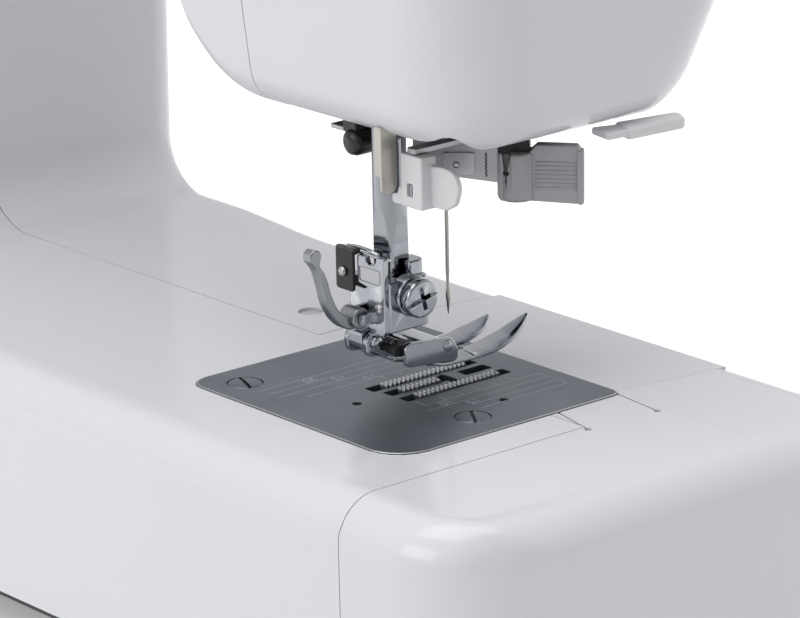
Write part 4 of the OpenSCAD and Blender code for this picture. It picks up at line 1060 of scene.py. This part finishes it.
def make_bars():
    """The presser bar with its milled flats, and the needle with its scarf and eye."""
    bar = make("presser_bar_ground", *spun(pin(24, 184, BAR_RADIUS, 0.3), BAR_AXIS, sides=72), "presser",
               "chrome_bar", ("presser_bar",))
    collar = spun([(3.82, 118), (5.2, 118), (5.2, 124), (3.82, 124)], BAR_AXIS, sides=40)

    def flat(angle, depth, height, radius):
        """A large cylinder lying across the bar, so that it mills a nearly flat face of the given depth."""
        c, s = math.cos(math.radians(angle)), math.sin(math.radians(angle))
        away = BAR_RADIUS - depth + radius
        wheel = spun([(radius, -9), (radius, 9)], (0, 0, 0), "x", 160)
        return posed(wheel, (c * away, BAR_AXIS[1] + s * away, height), (-s, c, 0), (c, s, 0), (0, 0, 1))

    carve(bar, [flat(186, 1.1, 27, 110), flat(96, 0.9, 30, 120)])
    soften(bar, 0.00008, 1, 12)
    piece("presser_collar", [collar], "presser", "bright_steel")
    z = 15.5
    blade = [(0, z - 0.02), (0.09, z), (0.32, z + 1.9), (0.42, z + 3.0), (0.5, z + 3.6), (0.5, z + 5.2),
             (0.36, z + 6.4), (0.36, z + 8.6), (0.45, z + 9.8), (0.45, z + 25), (0.55, z + 26.2),
             (1.0, z + 28.2), (1.0, z + 38.5), (0, z + 38.5)]
    groove = bar_block((-0.13, -0.7, z + 5), (0.13, -0.34, z + 25))
    eye = slab(rounded([(-0.16, z + 3.5), (0.16, z + 3.5), (0.16, z + 5.1), (-0.16, z + 5.1)], 0.15), -1, 1, "y",
               edge=0)
    piece("needle_blade", [spun(blade, (0, 0, 0), sides=32)], "needle_slide", "needle_steel", ("needle",),
          [groove, eye])


# ---------- threader ----------
THREADER_ROD = np.array([-16.8, -6.0, 0.0])
HEAD_PIVOT = (-9.5, 16.8, 0)
REACH = np.array([-0.7071, -0.7071, 0.0])
FACING = np.array([-0.7071, 0.7071, 0.0])


def make_threader():
    """The sliding carriage: rod, arm with a riveted plate, ribbed finger lever, and the white head with its fin."""
    def on_arm(shape):
        return posed(shape, THREADER_ROD, REACH, (0, 0, 1), FACING)

    arm = on_arm(slab(rounded([(-22.5, 50.4, 0.8), (-2.5, 47.7, 0.5), (-2.5, 58.6, 0.5), (-22.5, 58.6, 0.8)],
                              steps=4), -0.9, 0.9, edge=0.2))
    shelf = slab(rounded([(-11.6, 0.6), (-8.6, 0.6), (-8.6, 18.4), (-11.6, 18.4)], 0.8), 57.5, 58.7, "z", 0.15)
    stub = spun(pin(46.2, 57.6, 0.8, 0.1), HEAD_PIVOT, sides=20)
    fused("threader_arm", [arm, shelf], "threader", "threader_metal", ("threader_slider",),
          [on_arm(slab(rounded([(-18.6, 49.6), (-17.6, 49.6), (-17.6, 53), (-18.6, 53)], 0.3), 0.5, 2, edge=0))], 0.1)
    piece("threader_pivot", [stub, spun(pin(46, 88, 2.0, 0.2), THREADER_ROD, sides=32)], "threader", "threader_metal")
    plate = on_arm(slab(rounded([(-16.0, 49.7, 0.6), (-9.5, 49.7, 0.3), (-9.5, 54.8, 0.3), (-16.0, 54.8, 0.6)],
                                steps=4), 0.95, 1.45, edge=0.12))
    bent = on_arm(slab(rounded([(-9.9, 49.9, 0.2), (-9.1, 49.9, 0.2), (-9.1, 54.6, 0.2), (-9.9, 54.6, 0.2)], steps=3),
                       0.6, 1.4, edge=0.1))
    fused("threader_side_plate", [plate, bent], "threader", "rivet_steel", (),
          [on_arm(spun([(0.75, 0.5), (0.75, 3)], (-13.1, 52.1, 0), sides=24))], 0.06)
    piece("threader_plate_rivet", [on_arm(spun([(0, 1.6), (0.5, 1.55), (0.72, 1.3), (0.72, 0.9), (0, 0.9)][::-1],
                                               (-13.1, 52.1, 0), sides=24))], "threader", "foot_chrome")
    ripple = np.linspace(49.3, 54.6, 40)
    wavy = np.column_stack([-6.6 + 0.16 * np.sin(ripple * 7.5), ripple, np.full_like(ripple, 0.93)])
    piece("threader_gauge_line", [on_arm(wire(wavy, 0.14, 6))], "threader", "pocket_dark")

    hub = spun([(0, 44.2), (3.6, 44.2), (4.1, 44.5), (4.3, 45.1), (4.3, 54.4), (4.0, 55.0), (3.4, 55.2), (0, 55.2)],
               THREADER_ROD, sides=64)
    flat = on_arm(slab(rounded([(-3.6, 44.4), (3.4, 44.4), (3.4, 55.1), (-3.6, 55.1)], 0.5), -3, 3.2, edge=0.3))
    finger = on_arm(slab(rounded([(2.6, 44.3, 0.4), (13.9, 43.5, 0.9), (14.2, 55.3, 0.9), (13.4, 56.6, 0.6),
                                  (4.6, 56.9, 0.9), (2.6, 55.0, 0.5)], steps=5), -0.4, 2.6, edge=0.35))
    rim = on_arm(slab(rounded([(13.2, 43.4, 0.8), (14.6, 43.6, 0.6), (14.7, 55.6, 0.6), (13.2, 55.6, 0.6)], steps=4),
                      -0.4, 3.1, edge=0.3))
    cuts = [on_arm(slab(rounded([(-3.3, 56), (-2.45, 51.0), (-1.85, 51.0), (-0.9, 56)], 0.1), 1, 6, edge=0)),
            on_arm(spun([(0.72, 1), (0.72, 6)], (-2.15, 50.8, 0), sides=24)),
            on_arm(bar_block((-2.32, 48.5, 1), (-2.0, 51, 6)))]
    fused("threader_finger_lever", [hub, flat, finger, rim], "threader", "threader_grey", ("threader_lever",), cuts,
          0.15)
    ribs = [on_arm(wire(np.column_stack([np.linspace(4.1, 13.3, 6), np.full(6, h) - 0.03 * np.linspace(0, 9, 6),
                                         np.full(6, 2.55)]), 0.3, 8)) for h in np.linspace(47.3, 53.0, 7)]
    piece("threader_lever_ribs", ribs, "threader", "threader_grey")
    socket = [on_arm(slab(rounded([(-4.0, 54.6), (2.9, 54.6), (2.9, 59.6), (-4.0, 59.6)], 0.6), -3.2, 2.2, edge=0.2))]
    piece("threader_rod_holder", socket, "root", "pocket_dark")

    block = slab(rounded([(-13.9, 14.3, 0.5), (-6.9, 14.3, 0.5), (-6.9, 18.7, 0.5), (-13.9, 18.7, 0.5)], steps=4),
                 45.5, 57.2, "z", 0.35)
    fin = slab(rounded([(-13.4, 46.0, 0.3), (-18.4, 46.0, 1.2), (-21.6, 47.6, 2.8), (-23.0, 51.6, 3.5),
                        (-21.4, 55.0, 3.2), (-17.5, 55.4, 1.5), (-13.4, 54.9, 0.3)][::-1], steps=6), 14.6, 16.0, "y",
                        0.35)
    prong = slab(rounded([(-7.2, 45.6, 0.3), (-3.9, 45.6, 0.6), (-3.9, 47.6, 0.4), (-5.6, 47.9, 0.4),
                          (-6.2, 49.6, 0.4), (-7.2, 49.6, 0.2)], steps=4), 16.9, 18.6, "y", 0.2)
    window = slab(rounded([(-11.0, 47.9), (-9.0, 47.9), (-9.0, 50.9), (-11.0, 50.9)], 0.3), 17.4, 19.5, "y", edge=0)
    fused("threader_head_block", [block, fin], "threader_swing", "threader_white", ("threader_head",),
          [window, spun([(0.86, 44), (0.86, 58)], HEAD_PIVOT, sides=20)], 0.12)
    piece("threader_head_prong", [prong], "threader_swing", "threader_white")
    piece("threader_wire_hook", [wire(smooth_curve([(-10.2, 18.3, 50.6), (-10.0, 18.2, 49.4), (-10.3, 18.3, 48.2)],
                                                   6), 0.3, 8)], "threader_swing", "rivet_steel")
    sheet = rounded([(22.5, 48.6, 1.4), (22.6, 63, 0.3), (18.2, 63, 0.3), (18.3, 50.0, 0.6), (18.9, 48.2, 1.4),
                     (21.2, 48.0, 1.2)][::-1], steps=5)
    flange = slab(rounded([(-5.1, 51.8, 0.5), (-3.0, 52.2, 0.5), (-3.0, 63, 0.2), (-5.1, 63, 0.2)], steps=4), 21.9,
                  22.5, "y", 0.15)
    fused("threader_bracket", [slab(sheet, -5.3, -4.6, "x", 0.15), flange], "root", "bracket_beige",
          ("threader_post",), (), 0.1)


def make_cutter_and_lamp():
    """The thread cutter's moulded tab and the lifter's lever with its knob."""
    bar = slab(rounded([(-35.7, -38.6, 1.6), (-30.6, -41.2, 1.6), (-27.6, -24.6, 1.0), (-34.4, -22.6, 1.2)], steps=5),
               57.2, 60.0, "z", 0.9)
    plate = slab(rounded([(-33.9, -25, 0.5), (-28.2, -25, 0.5), (-26.0, -19, 1.0), (-33.2, -17.8, 1.2)], steps=5),
                 57.9, 59.5, "z", 0.5)
    piece("thread_cutter_tab", [bar, plate], "root", "threader_white", ("thread_cutter",))
    stem = slab(rounded([(8.7, 58), (13.3, 58), (13.3, 88), (8.7, 88)], 0.8), 14.0, 18.0, "y", 0.4)
    hub = spun([(2.06, 13.0), (4.7, 13.0), (5.0, 13.3), (5.0, 18.3), (4.7, 18.6), (2.06, 18.6)], (11, 0, 92), "y", 40)
    knob = spun([(0, 12.6), (1.8, 12.7), (2.7, 13.3), (3.1, 14.4), (3.1, 17.4), (2.7, 18.5), (1.8, 19.1), (0, 19.2)],
                (9.9, 0, 56.2), "y", 40)
    piece("lifter_lever_arm", [stem, hub, knob], "lifter", "lever_black", ("lifter_lever",))
    piece("lifter_lever_tab", [slab(rounded([(11, 57.9), (18, 57.9), (18, 59), (11, 59)], 0.4), 14.2, 17.6, "y",
                                    0.3)], "lifter", "threader_metal")


def fluted(profile, centre, along, flutes, depth, sides=240):
    """A turned profile whose radius dips by depth * (0.5 + 0.5 cos(flutes * angle))^2 wherever it is near its
    widest."""
    points, faces = spun(profile, (0, 0, 0), along, sides)
    axis = "xyz".index(along)
    across = [k for k in range(3) if k != axis]
    radius = np.linalg.norm(points[:, across], axis=1)
    angle = np.arctan2(points[:, across[1]], points[:, across[0]])
    widest = radius.max()
    dip = depth * (0.5 + 0.5 * np.cos(flutes * angle)) ** 2 * ease(radius, widest * 0.9, widest * 0.97)
    points[:, across] *= (1 - dip / np.maximum(radius, 1e-6))[:, None]
    return points + np.asarray(centre, float), faces


def make_dials():
    """Fluted dials with a raised pointer, the marks printed round them, and the handwheel with its grip."""
    marks = []
    for name, x, z, r, body, node, flutes in (("tension", 82, 164, 13, "tension_knob", "tension_dial", 24),
                                              ("pattern", 228, 160, 22, "pattern_knob", "pattern_dial", 36),
                                              ("length", 186, 176, 12, "length_knob", "length_dial", 22),
                                              ("width", 186, 140, 12, "width_knob", "width_dial", 22)):
        profile = [(0, -82.6), (r * 0.66, -82.6), (r * 0.74, -82.9), (r * 0.84, -83), (r * 0.93, -82.5),
                   (r * 0.98, -81.6), (r, -80.4), (r, -76.6), (r * 0.98, -76.1),
                   (r * 0.5, -76.0), (4.0, -75.8), (4.0, -62), (0, -62)]
        piece(name + "_dial_cap", [fluted(profile, (x, 0, z), "y", flutes, 0.55)], body, "dial_white", (node,))
        pointer = slab(rounded([(x - 0.6, z + r * 0.2), (x + 0.6, z + r * 0.2), (x + 0.6, z + r * 0.62),
                                (x - 0.6, z + r * 0.62)], 0.5), -82.85, -82.5, "y", 0.1)
        piece(name + "_dial_pointer", [pointer], body, "button_grey")
        for k in range(9):
            a = math.radians(-120 + 30 * k)
            inner, outer = r + 1.8, r + (3.8 if k % 2 == 0 else 3.0)
            marks.append(slab(strip_outline((x + inner * math.sin(a), z + inner * math.cos(a)),
                                            (x + outer * math.sin(a), z + outer * math.cos(a)), 0.45), -75.02, -74.9,
                                            "y", 0))
    piece("dial_marks", marks, "root", "button_grey")
    rim = [(0, 281.8), (10, 281.8), (10, 284), (23.5, 284.2), (26.8, 285.4), (28, 288), (28, 298.2), (27.2, 300.8),
           (24.6, 302.2), (20, 302.5), (17.6, 301.4), (16.4, 299.4), (0, 299.0)]
    piece("handwheel_grip", [fluted(rim, WHEEL_CENTRE, "x", 60, 0.6, 480)], "wheel_shaft", "dial_white",
          ("handwheel",))


make_casing()
make_handle_well()
make_dials()
make_plate()
make_plate_screws()
make_feed_teeth()
make_hook_cover()
make_foot()
make_holder()
make_thumb_screw()
make_bars()
make_threader()
make_cutter_and_lamp()


# ---------- studio ----------
def make_studio():
    """A pale floor with painted shade and glow, soft light from all round, and a long lens at the height of a seated
    user behind the free end.
    """
    floor_mesh = bpy.data.meshes.new("floor")
    floor_mesh.from_pydata([(-9, -9, 0), (9, -9, 0), (9, 9, 0), (-9, 9, 0)], [], [(0, 1, 2, 3)])
    floor = bpy.data.objects.new("floor", floor_mesh)
    bpy.context.scene.collection.objects.link(floor)
    floor_glow_shade = bpy.data.materials.new("floor_painted_shade_and_glow")
    floor_glow_shade.use_nodes = True
    surface = floor_glow_shade.node_tree.nodes["Principled BSDF"]
    nodes, link = floor_glow_shade.node_tree.nodes, floor_glow_shade.node_tree.links.new
    # The floor is darker and dimmer towards the camera's side and paler and glowing on the far side: painted shade,
    # and a painted glow that lights the machine from below.
    spot, aim, painted_shade_tone, glow = (nodes.new(kind) for kind in ("ShaderNodeTexCoord", "ShaderNodeVectorMath",
                                                          "ShaderNodeMapRange", "ShaderNodeMapRange"))
    aim.operation = "DOT_PRODUCT"
    aim.inputs[1].default_value = (0.77, -0.64, 0)
    link(spot.outputs["Object"], aim.inputs[0])
    for ranged, low, high in ((painted_shade_tone, 0.5, 0.9), (glow, 0.02, 0.4)):
        link(aim.outputs["Value"], ranged.inputs["Value"])
        ranged.inputs["From Min"].default_value, ranged.inputs["From Max"].default_value = -0.7, 0.4
        ranged.inputs["To Min"].default_value, ranged.inputs["To Max"].default_value = low, high
    link(painted_shade_tone.outputs["Result"], surface.inputs["Base Color"])
    link(glow.outputs["Result"], surface.inputs["Emission Strength"])
    surface.inputs["Roughness"].default_value = 0.7
    surface.inputs["Specular IOR Level"].default_value = 0.1
    surface.inputs["Emission Color"].default_value = (1, 1, 1, 1)
    floor_mesh.materials.append(floor_glow_shade)

    world = bpy.data.worlds.new("studio")
    bpy.context.scene.world = world
    world.use_nodes = True
    back = world.node_tree.nodes["Background"]
    nodes, link = world.node_tree.nodes, world.node_tree.links.new
    direction, part = nodes.new("ShaderNodeTexCoord"), nodes.new("ShaderNodeSeparateXYZ")
    ramp = nodes.new("ShaderNodeValToRGB")
    spread = nodes.new("ShaderNodeMapRange")
    spread.inputs["From Min"].default_value = -1
    link(direction.outputs["Generated"], part.inputs[0])
    link(part.outputs["X"], spread.inputs["Value"])
    link(spread.outputs["Result"], ramp.inputs["Fac"])
    stops = [(0.0, 0.44), (0.06, 0.14), (0.12, 0.52), (0.3, 0.8), (0.6, 0.95), (0.8, 0.6), (1.0, 0.75)]
    for k, (at, level) in enumerate(stops):
        stop = ramp.color_ramp.elements[k] if k < 2 else ramp.color_ramp.elements.new(at)
        stop.position = at
        stop.color = (level, level, level * 1.01, 1)
    link(ramp.outputs["Color"], back.inputs["Color"])
    back.inputs["Strength"].default_value = 1.0

    def softbox(name, place, target, size, power):
        light = bpy.data.lights.new(name, "AREA")
        light.shape = "RECTANGLE"
        light.size, light.size_y = size
        light.energy = power
        lamp = bpy.data.objects.new(name, light)
        lamp.location = place
        lamp.rotation_euler = (Vector(place) - Vector(target)).to_track_quat("Z", "Y").to_euler()
        bpy.context.scene.collection.objects.link(lamp)

    softbox("top_softbox", (0.0, 0.1, 1.6), (0, 0, 0.1), (1.6, 1.6), 12)
    softbox("back_softbox", (0.3, 1.8, 0.9), (0, 0, 0.1), (1.4, 0.8), 5.5)

    camera = bpy.data.cameras.new("camera")
    camera.sensor_width = 36
    camera.lens = 193.5
    camera.clip_start = 0.05
    view = bpy.data.objects.new("camera", camera)
    bpy.context.scene.collection.objects.link(view)
    bpy.context.scene.camera = view
    azimuth, elevation, roll = (math.radians(a) for a in (230.30, 17.22, -1.288))
    towards = np.array([math.sin(azimuth) * math.cos(elevation), -math.cos(azimuth) * math.cos(elevation),
                        math.sin(elevation)])
    side = np.cross(-towards, [0, 0, 1])
    side /= np.linalg.norm(side)
    up = np.cross(side, -towards)
    side, up = math.cos(roll) * side + math.sin(roll) * up, -math.sin(roll) * side + math.cos(roll) * up
    place = (np.array([-691.8, 588.2, 298.2]) + SHIFT) * MM
    view.matrix_world = Matrix(np.column_stack([side, up, towards, place]).tolist() + [[0, 0, 0, 1]])
    scene = bpy.context.scene
    scene.view_settings.view_transform = "Standard"
    scene.view_settings.look = "None"


make_studio()
